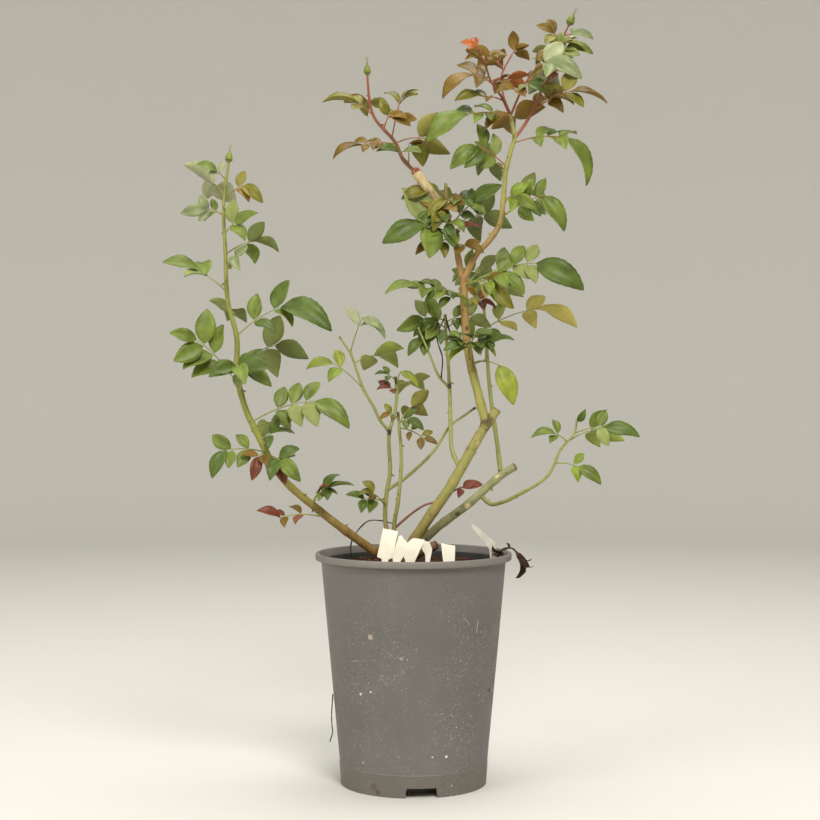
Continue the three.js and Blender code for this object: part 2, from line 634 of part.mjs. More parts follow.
// The compost, from the pot's floor to its top, which slopes down where it meets the wall.
function soilSolid() {
  const wallTop = POT_HEIGHT - LIP_HEIGHT - 2;
  const inner = (z) => mix(SKIRT_RADIUS - WALL, RIM_RADIUS - LIP_OVERHANG - WALL,
    (z - FLOOR_TOP) / (wallTop - FLOOR_TOP)) - GAP * 2;
  const foot = FLOOR_TOP + GAP;
  const shoulder = SOIL_TOP - SOIL_SHOULDER;
  return toSolid(turned([[0, foot], [inner(FLOOR_TOP) - 0.5, foot], [inner(shoulder) - 0.4, shoulder],
    [SOIL_FLAT, SOIL_TOP], [0, SOIL_TOP]], POT_SIDES));
}

// The knotted foot of the plant, where all its canes start: a low dome with a flare, cut flat just above the
// soil.
function rootCrownSolid() {
  const section = [[0, 0], [CROWN.radius + CROWN.flare, 0], [CROWN.radius + 0.5, CROWN.flareHeight]];
  for (let i = 1; i < CROWN.steps; i += 1) {
    const angle = mix(0.14, Math.PI / 2, i / CROWN.steps);
    section.push([CROWN.radius * Math.cos(angle), CROWN.radius * Math.sin(angle) + 0.4]);
  }
  section.push([0, CROWN.radius + 0.4]);
  return toSolid(turned(section, CROWN.sides).translate(CROWN.x, CROWN.y, SOIL_TOP + GAP));
}

function labelSolid({ back, corners }) {
  const shape = new THREE.Shape(corners.map(([x, z]) => new THREE.Vector2(x, z)));
  const geometry = new THREE.ExtrudeGeometry(shape, { depth: LABEL_THICKNESS, bevelEnabled: false });
  geometry.rotateX(Math.PI / 2);
  geometry.translate(0, back, 0);
  return toSolid(geometry);
}

// Withered leaves that lie across the right side of the rim and hang down outside it.
function driedLeaves() {
  const over = RIM_RADIUS + 2;
  const way = [[80, -2, 213.5], [86, -3, 226], [over, -4, 226.5], [over + 4, -5, 217]].map(vector);
  const bends = new THREE.CatmullRomCurve3(way).getPoints(DRIED.bends);
  const stalk = toSolid(limbGeometry(bends, bends.map(() => DRIED.stalk), DRIED.sides));
  const hanging = [0.3, -1, 0.2];
  const blades = [
    { bend: 8, heading: [0, -1, -20], up: hanging, length: 24 },
    { bend: 7, heading: [12, -2, -9], up: hanging, length: 21 },
    { bend: 3, heading: [-6, -8, 4], up: [0, -0.5, 1], length: 14 },
    { bend: 6, heading: [3, -9, 3], up: [0.2, -0.6, 1], length: 13 },
  ];
  return wasm.Manifold.union([stalk, ...blades.map(
    ({ bend, heading, up, length }) => leaflet(bends[bend], vector(heading), vector(up), length),
  )]);
}

addPart("pot", potSolid(), PLASTIC);
addPart("soil", soilSolid(), COMPOST);
const rootCrown = rootCrownSolid();
addPart("root_crown", rootCrown, BARK);

// The limbs, each cut clear of those before it by the gap.
const limbs = [
  rootCrown.translate([-CROWN.x, -CROWN.y, -CROWN.z])
    .scale([CROWN_CLEARANCE, CROWN_CLEARANCE, CROWN_CLEARANCE])
    .translate([CROWN.x, CROWN.y, CROWN.z]),
];
LIMBS.forEach((part) => {
  const whole = stretch(part, part.sides, part.steps);
  addPart(part.name, largest(without(whole, limbs)), BARK);
  limbs.push(stretch(part, part.sides, part.steps, GAP));
});

const labels = LABELS.map((label) => {
  const solid = labelSolid(label);
  addPart(label.name, solid, CREAM);
  return solid;
});
const dried = driedLeaves();
addPart("dried_leaves", dried, DRY);

// The masses of foliage. A leaf that would touch a limb, another stem or an earlier mass is skipped.
const taken = [...limbs, ...labels, dried];
const stems = MASSES.filter((mass) => mass.cane).map((mass) => (
  { name: mass.name, solid: stretch(mass, STEM.sides, stemSteps(mass), GAP) }));
const grownStems = [];
MASSES.forEach((mass, number) => {
  const others = stems.filter((stem) => stem.name !== mass.name).map((stem) => stem.solid);
  const solid = massSolid(mass, number, [...limbs, ...grownStems], [...taken, ...others]);
  addPart(mass.name, solid, GREEN);
  taken.push(solid);
  grownStems.push(...stems.filter((stem) => stem.name === mass.name).map((stem) => stem.solid));
});

export default group;
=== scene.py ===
# %% [markdown]
# # A young rose bush in its nursery pot
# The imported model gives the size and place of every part. This lesson dresses it: bark on the canes, real
# leaflets on the shoots, a moulded pot with dust and scratches, compost, and a few blank plastic labels.
# We start by loading the frame and noting its box, to compare the finished plant with it at the end.

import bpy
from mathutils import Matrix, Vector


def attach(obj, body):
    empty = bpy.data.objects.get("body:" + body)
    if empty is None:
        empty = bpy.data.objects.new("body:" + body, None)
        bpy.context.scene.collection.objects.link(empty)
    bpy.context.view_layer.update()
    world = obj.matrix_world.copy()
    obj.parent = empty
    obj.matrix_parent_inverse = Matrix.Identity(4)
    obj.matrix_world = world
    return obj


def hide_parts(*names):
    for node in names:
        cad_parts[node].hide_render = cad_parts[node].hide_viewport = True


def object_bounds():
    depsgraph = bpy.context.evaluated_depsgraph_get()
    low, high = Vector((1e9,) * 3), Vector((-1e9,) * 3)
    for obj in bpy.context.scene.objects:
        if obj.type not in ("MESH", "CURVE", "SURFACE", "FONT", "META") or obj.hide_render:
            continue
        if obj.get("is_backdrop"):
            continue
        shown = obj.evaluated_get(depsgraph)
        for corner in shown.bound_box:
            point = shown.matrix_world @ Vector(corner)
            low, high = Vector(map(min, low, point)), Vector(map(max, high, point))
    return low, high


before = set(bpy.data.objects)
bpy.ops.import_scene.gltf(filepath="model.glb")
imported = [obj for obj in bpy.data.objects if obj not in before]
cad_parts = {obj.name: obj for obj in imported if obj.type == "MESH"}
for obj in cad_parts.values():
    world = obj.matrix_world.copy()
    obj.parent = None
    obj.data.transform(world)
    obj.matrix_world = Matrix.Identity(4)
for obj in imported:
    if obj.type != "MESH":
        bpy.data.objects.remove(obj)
cad_box = [list(corner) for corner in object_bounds()]

import math

import bmesh
import bpy
from mathutils import Matrix, Vector, kdtree, noise

MM = 0.001
print(len(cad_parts), "nodes in the frame. Their box, in metres:")
print([[round(v, 3) for v in corner] for corner in cad_box])

# %% [markdown]
# A plant has to come out the same on every run, so chance comes from a small generator of our own. It is
# the same one that placed the solid leaves, which is why the fine leaves below land on them. Three small
# helpers follow it: a blend of two numbers, even steps from 0 to 1, and millimetres turned into metres.

# %% A seeded generator
WORD = 2 ** 32
SPREAD = 2654435761
FACTOR = 1664525
SHIFT = 1013904223


def seeded(seed):
    """A function that gives the next number from 0 to 1 each time it is called."""
    state = [(seed * SPREAD) % WORD]

    def draw():
        state[0] = (state[0] * FACTOR + SHIFT) % WORD
        return state[0] / WORD

    draw()
    draw()
    return draw


def mix(low, high, share):
    return low + (high - low) * share


def even(count):
    """Shares from 0 to 1 in count equal steps."""
    return [index / count for index in range(count + 1)]


def metres(place):
    return tuple(v * MM for v in place)


print("first draw of seed 7:", round(seeded(7)(), 4))

# %% [markdown]
# Node materials read best as arithmetic. `Socket` wraps one output and turns `+`, `-`, `*` and
# comparisons into Math nodes. `Finish` holds one material: its `node` method makes any other node from
# its type, settings and inputs, and `mixed` blends two colours by a mask.

# %% Shader maths as expressions
class Socket:
    """One output socket. An expression on it adds the Math nodes that it needs."""

    def __init__(self, finish, link):
        self.finish = finish
        self.link = link

    def math(self, operation, first, second):
        return self.finish.node("ShaderNodeMath", {"operation": operation}, {0: first, 1: second})

    def __add__(self, other):
        return self.math("ADD", self, other)

    def __radd__(self, other):
        return self.math("ADD", other, self)

    def __sub__(self, other):
        return self.math("SUBTRACT", self, other)

    def __rsub__(self, other):
        return self.math("SUBTRACT", other, self)

    def __mul__(self, other):
        return self.math("MULTIPLY", self, other)

    def __rmul__(self, other):
        return self.math("MULTIPLY", other, self)

    def __gt__(self, other):
        return self.math("GREATER_THAN", self, other)

    def __lt__(self, other):
        return self.math("LESS_THAN", self, other)


class Finish:
    """A material under construction."""

    def __init__(self, name, roughness, **constants):
        self.material = bpy.data.materials.new(name)
        self.material.use_nodes = True
        self.tree = self.material.node_tree
        self.shader = self.tree.nodes["Principled BSDF"]
        self.set("Roughness", roughness)
        for socket, value in constants.items():
            self.set(socket.replace("_", " "), value)

    def set(self, socket, value):
        """A constant goes straight on the shader's socket, anything else is linked to it."""
        if isinstance(value, Socket):
            self.tree.links.new(value.link, self.shader.inputs[socket])
        else:
            self.shader.inputs[socket].default_value = value

    def node(self, kind, settings=None, inputs=None, output=0):
        """Any node: its settings first, then its inputs by name or number."""
        made = self.tree.nodes.new(kind)
        for key, value in (settings or {}).items():
            if key == "stops":
                self.stops(made.color_ramp, value)
            else:
                setattr(made, key, value)
        for key, value in (inputs or {}).items():
            if isinstance(value, Socket):
                self.tree.links.new(value.link, made.inputs[key])
            else:
                made.inputs[key].default_value = value
        return Socket(self, made.outputs[output])

    @staticmethod
    def stops(ramp, stops):
        while len(ramp.elements) > 1:
            ramp.elements.remove(ramp.elements[-1])
        for index, (place, colour) in enumerate(stops):
            element = ramp.elements[0] if index == 0 else ramp.elements.new(place)
            element.position = place
            element.color = (*colour, 1) if isinstance(colour, tuple) else (colour, colour, colour, 1)

    def where(self):
        """Object coordinates, in metres."""
        return self.node("ShaderNodeTexCoord", output="Object")

    def place(self, scale=(1, 1, 1)):
        """Object coordinates, stretched by scale."""
        return self.node("ShaderNodeMapping", inputs={"Vector": self.where(), "Scale": scale})

    def axis(self, letter):
        """How far along X, Y or Z a point is, in metres."""
        return self.node("ShaderNodeSeparateXYZ", inputs={0: self.where()}, output=letter)

    def noise(self, scale, detail=4, roughness=0.55, stretch=(1, 1, 1)):
        return self.node("ShaderNodeTexNoise", inputs={
            "Vector": self.place(stretch), "Scale": scale, "Detail": detail, "Roughness": roughness})

    def ramp(self, factor, stops):
        return self.node("ShaderNodeValToRGB", {"stops": stops}, {"Fac": factor}, "Color")

    def mixed(self, mask, first, second):
        """A Mix node on colours. Inputs 6 and 7 are its two colours, and output 2 is the blend."""
        return self.node("ShaderNodeMix", {"data_type": "RGBA"}, {0: mask, 6: first, 7: second}, 2)

    def vector(self, operation, first, second, output=0):
        """A Vector Math node."""
        return self.node("ShaderNodeVectorMath", {"operation": operation}, {0: first, 1: second}, output)

    def spot(self, place, radius, soft=0.4):
        """1 within radius of a place, falling to 0 at its edge. Metres."""
        away = self.vector("DISTANCE", self.where(), place, "Value")
        return self.ramp(away * (1 / radius), [(1 - soft, 1.0), (1.0, 0.0)])

    def bump(self, height, depth, strength):
        self.set("Normal", self.node("ShaderNodeBump", inputs={
            "Height": height, "Distance": depth, "Strength": strength}))


def srgb(red, green, blue):
    """A colour seen on a screen, 0 to 255, as linear light."""
    return tuple(((v / 255 + 0.055) / 1.055) ** 2.4 if v > 10 else v / 3294.6 for v in (red, green, blue))


def rgba(colour):
    return (*colour, 1.0)


print("mid grey is", [round(v, 3) for v in srgb(128, 128, 128)])

# %% [markdown]
# Every piece that we make ends the same way: its bmesh becomes a mesh, it gets its finishes, and it is
# told which body it rides on and which solids it stands for. `piece` does it all. `add_copy` sets one
# more copy of a finished mesh into a bmesh, and `lathe` spins a section into a round form.

# %% Finish a piece
def to_object(name, bm, finishes, smooth=True):
    mesh = bpy.data.meshes.new(name)
    bm.to_mesh(mesh)
    bm.free()
    for finish in finishes:
        mesh.materials.append(finish.material)
    mesh.polygons.foreach_set("use_smooth", [smooth] * len(mesh.polygons))
    made = bpy.data.objects.new(name, mesh)
    bpy.context.scene.collection.objects.link(made)
    return made


def piece(name, bm, finishes, replaced=(), smooth=True):
    made = to_object(name, bm, finishes, smooth)
    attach(made, "root")
    if replaced:
        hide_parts(*replaced)
    triangles = sum(len(face.vertices) - 2 for face in made.data.polygons)
    print(f"{name}: {triangles} triangles")
    return made


def add_copy(bm, pattern, matrix):
    """Adds a copy of a mesh to bm, turned and placed by matrix."""
    copy = pattern.copy()
    copy.transform(matrix)
    bm.from_mesh(copy)
    bpy.data.meshes.remove(copy)


def lathe(section, steps, gap):
    """Spins (radius, height) points round the upright axis, and joins what lies closer than gap. Metres."""
    bm = bmesh.new()
    verts = [bm.verts.new((radius, 0, height)) for radius, height in section]
    edges = [bm.edges.new(pair) for pair in zip(verts, verts[1:])]
    bmesh.ops.spin(bm, geom=verts + edges, cent=(0, 0, 0), axis=(0, 0, 1), angle=math.tau, steps=steps,
                   use_merge=True)
    bmesh.ops.remove_doubles(bm, verts=bm.verts, dist=gap)
    bmesh.ops.recalc_face_normals(bm, faces=bm.faces)
    return bm


print("helpers for pieces are ready")

# %% [markdown]
# The camera comes before the plant, so that every look from now on is comparable. It stands level with
# the middle of the plant and almost 1.7 m away, tilted down by less than a degree. Three large soft lamps
# and a pale world light it, as a studio would. The Standard view transform shows the colours as they are
# mixed.
#
# The floor is a sheet of pale paper. Its edge curves up all round, so that no horizon cuts through the
# plant.

# %% Camera, light and floor
CAMERA_PLACE = (-0.0034, -1.688, 0.389)
CAMERA_TILT = math.radians(90 - 0.955)
FIELD_OF_VIEW = math.radians(26.46)
WORLD_COLOUR = (1.0, 0.985, 0.95, 1)
WORLD_STRENGTH = 0.5

camera = bpy.data.objects.new("camera", bpy.data.cameras.new("camera"))
camera.data.angle = FIELD_OF_VIEW
camera.location = CAMERA_PLACE
camera.rotation_euler = (CAMERA_TILT, 0, 0)
camera.data.clip_start = 0.05
bpy.context.scene.collection.objects.link(camera)
bpy.context.scene.camera = camera


def area_light(name, place, aim, size, power, colour):
    lamp = bpy.data.objects.new(name, bpy.data.lights.new(name, "AREA"))
    lamp.data.shape = "DISK"
    lamp.data.size = size
    lamp.data.energy = power
    lamp.data.color = colour
    lamp.location = place
    lamp.rotation_euler = (Vector(aim) - Vector(place)).to_track_quat("-Z", "Y").to_euler()
    bpy.context.scene.collection.objects.link(lamp)


area_light("key", place=(0.5, -2.1, 2.3), aim=(0, 0, 0.35), size=1.1, power=72, colour=(1.0, 0.98, 0.95))
area_light("fill", place=(-1.9, -1.5, 1.3), aim=(0, 0, 0.35), size=1.5, power=27, colour=(1.0, 0.985, 0.96))
area_light("top", place=(0.1, 0.3, 2.6), aim=(0, 0, 0.4), size=1.6, power=40, colour=(1.0, 0.99, 0.97))

world = bpy.data.worlds.new("studio")
world.use_nodes = True
background = world.node_tree.nodes["Background"]
background.inputs["Color"].default_value = WORLD_COLOUR
background.inputs["Strength"].default_value = WORLD_STRENGTH
bpy.context.scene.world = world
bpy.context.scene.view_settings.view_transform = "Standard"

FLOOR_RADIUS = 2.6
BEND_RADIUS = 1.2
WALL_TOP = 3.4
BEND_STEPS = 12
FLOOR_STEPS = 96
paper = Finish("plain_paper", 0.95, Specular_IOR_Level=0.1)
paper.set("Base Color", rgba(srgb(204, 202, 195)))
sweep = [(0, 0)]
for share in even(BEND_STEPS):
    turn = math.pi / 2 * share
    sweep.append((FLOOR_RADIUS + BEND_RADIUS * math.sin(turn), BEND_RADIUS * (1 - math.cos(turn))))
sweep.append((FLOOR_RADIUS + BEND_RADIUS, WALL_TOP))
floor = to_object("floor", lathe(sweep, FLOOR_STEPS, 1e-5), [paper])
floor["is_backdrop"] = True
print("camera lens", round(camera.data.lens, 2), "mm")

# %% [markdown]
# ## The canes
# A cane is a tapering tube with a life story: it is brown and rough at its foot, smooth and green higher
# up, reddish where it grew last, and it swells a little at every bud. The routes below are the ones that
# the solids follow, base first, in millimetres, with the thickness at the foot and at the tip.

# %% Routes of the canes
CANES = {
    "left": ([
        (-26, -5.5, 216), (-57.9, -20, 240.3), (-89.9, -31, 265.9), (-125.3, -40, 298.7),
        (-147.5, -45, 339.5), (-158.7, -46, 364), (-166.2, -47, 397), (-166.2, -47, 429),
        (-174.8, -46, 464.7), (-177.2, -44, 511), (-179.1, -40, 554.7), (-174.9, -36, 596)], 9, 2.4),
    "middle_left": ([
        (-18, 5.3, 223), (-26.7, 9, 246.4), (-27, 12, 273.5), (-22.9, 14, 300.7), (-23.9, 16, 336.7),
        (-17.9, 17, 359.4), (-16.2, 18, 381.7), (-17.9, 18, 393.3)], 5, 3),
    "middle_right": ([
        (-15.6, 2, 223), (-18.9, 0, 247), (-15.2, -4, 270.7), (-11.7, -8, 311.5), (-13.9, -10, 345),
        (-15, -10, 359.4)], 4.8, 2.8),
    "middle_branch": ([
        (-24, 16, 340), (-31.7, 12, 349.5), (-39.3, 6, 365), (-47.3, 2, 378.8), (-53.6, -2, 395.2),
        (-60.3, -6, 414.5), (-71.4, -9, 431.8)], 3.4, 2),
    "slanting": ([
        (-25, 12, 283), (-15.1, 14, 289.2), (0.1, 17, 300.8), (21.1, 20, 321.9), (36.9, 23, 345.8),
        (51.2, 22, 356), (61, 21, 363)], 3.4, 2.4),
    "red": ([
        (-18.6, 0, 246), (-1.5, 2, 260.7), (11.1, 5, 268.5), (21, 7, 271.4), (35.5, 8, 280),
        (47.2, 8, 286)], 2.6, 1.6),
    "main_low": ([
        (-8, -1, 221.5), (16.8, -8, 259.9), (35.7, -12, 287.6), (60.1, -11, 330.8),
        (69.8, -10, 347)], 11, 9.6),
    "main_high": ([
        (69.3, -10, 349.6), (62.2, -6, 377), (53.7, -1, 413.6), (49.8, 2, 448.5),
        (48.8, 4, 491.3)], 9, 7.4),
    "left_crown": ([
        (47, 5, 489), (41.3, 8, 518.7), (36.5, 11, 537.5), (32.2, 14, 557.2), (31.5, 18, 582)], 6.4, 3.4),
    "right_crown": ([
        (49.5, 4, 489), (60.9, 0, 511.3), (72.4, -4, 523.6), (82.8, -8, 539.7), (86.1, -10, 560.7),
        (88.4, -11, 589.4), (94.3, -11, 613.4), (96.7, -11, 621.1), (94.3, -10, 636.6),
        (92.8, -10, 645.3)], 6.2, 4),
    "stub": ([
        (33.5, 11, 547), (24, 4, 561), (10, -2, 580), (2.4, -4, 590)], 9.4, 8.6),
    "upper_left": ([
        (3, -3.8, 589), (-10, -7, 602), (-17.2, -10, 617.4), (-38.3, -15, 642.5), (-43.7, -20, 673.4),
        (-44, -21, 681)], 4.2, 2),
    "cut": ([
        (-6, 7, 219), (26, 20, 247.5), (53.9, 33, 267.1), (87.1, 46, 295), (101.4, 51, 303.7)], 8.8, 8),
    "back": ([
        (87, 47, 296), (84.2, 52, 322.6), (77.3, 56, 372.5), (71.2, 58, 450.4), (69.4, 58, 486.5)], 5, 3),
    "right_shoot": ([
        (66, 37, 276), (76.3, 34, 267.5), (90, 26, 270.6), (105.2, 18, 278.9), (120.2, 10, 288.2),
        (130.7, 6, 297.2), (137.3, 4, 308.9), (142, 2, 321.6), (150.5, 0, 331.8), (155.9, -2, 339.1),
        (157.9, -4, 352.7)], 4.4, 2),
    "inner": ([
        (45, -9, 304), (37.3, 2, 322.7), (36.2, 8, 344.7), (35.2, 13, 381.6), (31.8, 17, 436.4),
        (30.9, 18, 454)], 4.6, 2.8),
    "inner_side": ([
        (34.5, 12.5, 383), (24.8, 8, 393.3), (16.1, 4, 413.7), (4.4, 0, 440.7)], 2.8, 1.8),
    "crown_left": ([
        (91.9, -10.6, 645), (84, -14, 661), (73.8, -18, 675), (69.5, -21, 687),
        (62.8, -24, 704.2)], 2.4, 1.6),
    "crown_back": ([
        (92.9, -8.8, 645), (86.5, 0, 665), (85.4, 7, 685), (95.5, 14, 706)], 2.4, 1.6),
    "crown_front": ([
        (93.7, -11, 645), (102.9, -18, 666), (113, -24, 682), (120.7, -30, 688.8)], 2.4, 1.6),
    "crown_right": ([
        (97, -9, 622), (105, -6, 632.7), (116.2, 0, 651.6), (122.2, 4, 667.5), (133.3, 8, 686.4),
        (140.7, 11, 712.8), (148.6, 12, 729.8), (151, 12, 735)], 3.2, 1.8),
    "old_spur": ([
        (-8, -1, 215.5), (4, -7, 222), (21.8, -16, 231.7)], 8, 8.6),
}
print(len(CANES), "canes")

# %% [markdown]
# A smooth line through the points is a Catmull-Rom spline. We sample it finely, measure its length as we
# go, and can then ask for the point at any share of the way, or at any height.

# %% A line through a cane's points
class Line:
    """A smooth line through points, sampled finely, asked by share of its length."""

    SAMPLES = 24
    SEARCH_STEPS = 24
    LEAST_GAP = 1e-6

    def __init__(self, points):
        spots = [Vector(point) for point in points]
        first = spots[0] * 2 - spots[1]
        last = spots[-1] * 2 - spots[-2]
        knots = [first, *spots, last]
        self.spots = []
        for index in range(1, len(knots) - 2):
            for step in range(self.SAMPLES):
                self.spots.append(self.between(knots[index - 1:index + 3], step / self.SAMPLES))
        self.spots.append(spots[-1])
        self.run = [0.0]
        for before, after in zip(self.spots, self.spots[1:]):
            self.run.append(self.run[-1] + (after - before).length)
        self.length = self.run[-1]

    @staticmethod
    def between(four, share):
        """The centripetal Catmull-Rom point between the two middle knots."""
        gaps = [max((b - a).length, Line.LEAST_GAP) ** 0.5 for a, b in zip(four, four[1:])]
        before, start, end, after = four
        first, middle, last = gaps
        straight = (end - start) / middle
        lean = ((start - before) / first - (end - before) / (first + middle) + straight) * middle
        pull = (straight - (after - start) / (middle + last) + (after - end) / last) * middle
        cubic = start * 2 - end * 2 + lean + pull
        square = end * 3 - start * 3 - lean * 2 - pull
        return start + lean * share + square * share ** 2 + cubic * share ** 3

    def at(self, share):
        goal = min(max(share, 0), 1) * self.length
        low, high = 0, len(self.run) - 1
        while high - low > 1:
            middle = (low + high) // 2
            if self.run[middle] <= goal:
                low = middle
            else:
                high = middle
        span = self.run[high] - self.run[low]
        return self.spots[low].lerp(self.spots[high], (goal - self.run[low]) / span if span else 0)

    def heading(self, share, step=0.004):
        return (self.at(share + step) - self.at(share - step)).normalized()

    def share_at_height(self, height):
        low, high = 0.0, 1.0
        for _ in range(self.SEARCH_STEPS):
            middle = (low + high) / 2
            if self.at(middle).z < height:
                low = middle
            else:
                high = middle
        return low


LINES = {name: Line(points) for name, (points, _, _) in CANES.items()}


def radius_at(name, share):
    _, foot, tip = CANES[name]
    return mix(foot, tip, min(max(share, 0), 1)) / 2


print("main cane:", round(LINES["main_low"].length + LINES["main_high"].length), "mm long")

# %% [markdown]
# A tube is a ring that is extruded along its line, one short step at a time, and moved onto its place
# after each step. `frames` carries the ring along without twisting it: each step takes the last side
# direction and only makes it square to the new heading. `shape` may change the radius by place and
# bearing, which is where the bark's relief comes from.

# %% Extrude a tube along a line
SEAM_SLACK = 0.01


def frames(line, stations):
    """For every station its place and two directions across it, carried along without twist."""
    side = line.heading(stations[0]).orthogonal().normalized()
    made = []
    for share in stations:
        heading = line.heading(share)
        side = (side - heading * side.dot(heading)).normalized()
        made.append((line.at(share), side, heading.cross(side)))
    return made


def angle_of(place, centre, side, across):
    """The bearing of a place round the last ring, so that the new ring keeps the same order."""
    away = place - centre
    turn = math.atan2(away.dot(across), away.dot(side))
    return (turn + SEAM_SLACK) % math.tau


def tube(bm, line, stations, sides, shape):
    """Adds a tube to bm. shape gives the radius in millimetres from the station's share and the bearing."""
    bm.loops.layers.uv.verify()
    ring = bmesh.ops.create_circle(bm, cap_ends=False, segments=sides, radius=1)["verts"]
    edges = list({edge for vert in ring for edge in vert.link_edges})
    first = list(ring)
    last_frame = None
    for share, (spot, side, across) in zip(stations, frames(line, stations)):
        if last_frame:
            extruded = bmesh.ops.extrude_edge_only(bm, edges=edges)["geom"]
            new = [item for item in extruded if isinstance(item, bmesh.types.BMVert)]
            edges = [edge for edge in extruded if isinstance(edge, bmesh.types.BMEdge)
                     and edge.verts[0] in new and edge.verts[1] in new]
            ring = sorted(new, key=lambda vert: angle_of(vert.co, *last_frame))
        else:
            ring = sorted(ring, key=lambda vert: math.atan2(vert.co.y, vert.co.x) % math.tau)
        for index, vert in enumerate(ring):
            bearing = math.tau * index / sides
            reach = shape(share, bearing) * MM
            vert.co = spot * MM + (side * math.cos(bearing) + across * math.sin(bearing)) * reach
        last_frame = (spot * MM, side.copy(), across.copy())
    foot_edges = {edge for vert in first for edge in vert.link_edges if edge.is_boundary}
    bmesh.ops.holes_fill(bm, edges=list(foot_edges), sides=0)
    bmesh.ops.holes_fill(bm, edges=edges, sides=0)


print("a tube is a ring, extruded")

# %% [markdown]
# Bark relief: long shallow ridges, fine grain, and a soft swelling at every bud. A rose also has
# prickles, each a little cone with a broad flat foot, bent downwards. A prickle is a cone that we flatten
# and bend. Each one stands about two fifths of a turn round the cane from the last, with its foot sunk
# into the bark.

# %% Canes with relief
SIDE_STEP = 2.4
LEAST_STEPS = 6
BUD_EVERY = 34.0
BUD_SPREAD = 3.2
BUD_SWELL = 0.1
FIRST_BUD = 8
RIDGE_WAY = 0.035
GRAIN_WAY = 0.22
PRICKLE_TURN = 0.4 * math.tau
PRICKLE_START = 0.05
PRICKLE_END = 0.95
PRICKLE_SINK = 0.86


def bark_radius(name, roughness):
    length = LINES[name].length

    def shape(share, bearing):
        along = share * length
        spot = Vector((math.cos(bearing) * 1.3, math.sin(bearing) * 1.3, along * RIDGE_WAY))
        ridge = noise.noise(spot * 2.1) * roughness
        grain = noise.noise(Vector((spot.x * 6, spot.y * 6, along * GRAIN_WAY))) * roughness * 0.45
        swell = 0.0
        if along > FIRST_BUD:
            away = (along % BUD_EVERY) - BUD_EVERY / 2
            swell = BUD_SWELL * math.exp(-(away / BUD_SPREAD) ** 2)
        return radius_at(name, share) * (0.98 + ridge + grain + swell)

    return shape


def cane(bm, name, roughness, sides):
    line = LINES[name]
    steps = max(LEAST_STEPS, round(line.length / SIDE_STEP))
    tube(bm, line, even(steps), sides, bark_radius(name, roughness))


def prickle(bm, spot, outward, along, length):
    """A curved thorn: a cone, flattened across the cane and bent down along it."""
    made = bmesh.ops.create_cone(bm, cap_ends=True, segments=8, radius1=1, radius2=0.06, depth=1)["verts"]
    bmesh.ops.translate(bm, verts=made, vec=(0, 0, 0.5))
    across = along.cross(outward).normalized()
    for vert in made:
        rise = vert.co.z
        bend = -0.35 * rise ** 1.6
        place = outward * ((rise - 0.12) * length) + along * ((vert.co.x * 0.42 + bend) * length)
        vert.co = (spot + place + across * (vert.co.y * 0.17 * length)) * MM


def prickles(bm, name, every, length, seed):
    line = LINES[name]
    draw = seeded(seed)
    count = int(line.length * (PRICKLE_END - PRICKLE_START) / every)
    for number in range(count):
        share = mix(PRICKLE_START, PRICKLE_END, (number + draw() * 0.6) / count)
        along = line.heading(share)
        side = along.orthogonal().normalized()
        outward = Matrix.Rotation(number * PRICKLE_TURN + draw(), 3, along) @ side
        foot = line.at(share) + outward * radius_at(name, share) * PRICKLE_SINK
        prickle(bm, foot, outward, along, length * mix(0.7, 1.2, draw()))


print("a cane has a ring every", SIDE_STEP, "mm")

# %% [markdown]
# Bark changes colour up the plant. Each finish below mixes two bark colours by height above the ground,
# breaks the change with noise, and adds pale flecks drawn out upwards, dark patches and brown dots. Scars
# are spots of a third colour at their own places. Young skin is glossier than old wood. The table gives,
# for each bark, its low and its high colour, the heights in metres between which they change, the colour
# of its flecks, and its roughness.

# %% Bark finishes
DOT_BROWN = (70, 42, 24)
DUSK = 0.35


def bark(name, low, high, band, pale, roughness, fleck=0.35, bump=0.0004, scars=()):
    low, high, pale = srgb(*low), srgb(*high), srgb(*pale)
    finish = Finish(name, roughness, Specular_IOR_Level=0.35)
    share = (finish.axis("Z") - band[0]) * (1 / (band[1] - band[0]))
    share = share + (finish.noise(28, 3) - 0.5) * 0.9
    colour = finish.mixed(finish.ramp(share, [(0.0, 0.0), (1.0, 1.0)]), rgba(low), rgba(high))
    streak = finish.noise(240, 5, 0.65, (1, 1, 0.16))
    colour = finish.mixed(finish.ramp(streak, [(0.42, 0.0), (0.72, fleck)]), colour, rgba(pale))
    dark = finish.noise(95, 4, 0.6)
    dusk = rgba(tuple(v * DUSK for v in low))
    colour = finish.mixed(finish.ramp(dark, [(0.54, 0.0), (0.74, 0.6)]), colour, dusk)
    dot = finish.node("ShaderNodeTexVoronoi", inputs={"Vector": finish.place((1, 1, 0.6)), "Scale": 210.0})
    rare = finish.ramp(finish.noise(70, 2), [(0.5, 0.0), (0.56, 1.0)])
    dots = finish.ramp(dot, [(0.10, 0.85), (0.2, 0.0)]) * rare
    colour = finish.mixed(dots, colour, rgba(srgb(*DOT_BROWN)))
    for place, radius, shade in scars:
        mask = finish.spot(metres(place), radius * MM, 0.35) * finish.ramp(dark, [(0.36, 0.4), (0.5, 1.0)])
        colour = finish.mixed(mask, colour, rgba(srgb(*shade)))
    finish.set("Base Color", colour)
    finish.set("Roughness", finish.ramp(streak, [(0.3, roughness - 0.1), (0.8, roughness + 0.2)]))
    finish.bump(streak, bump, 0.6)
    return finish


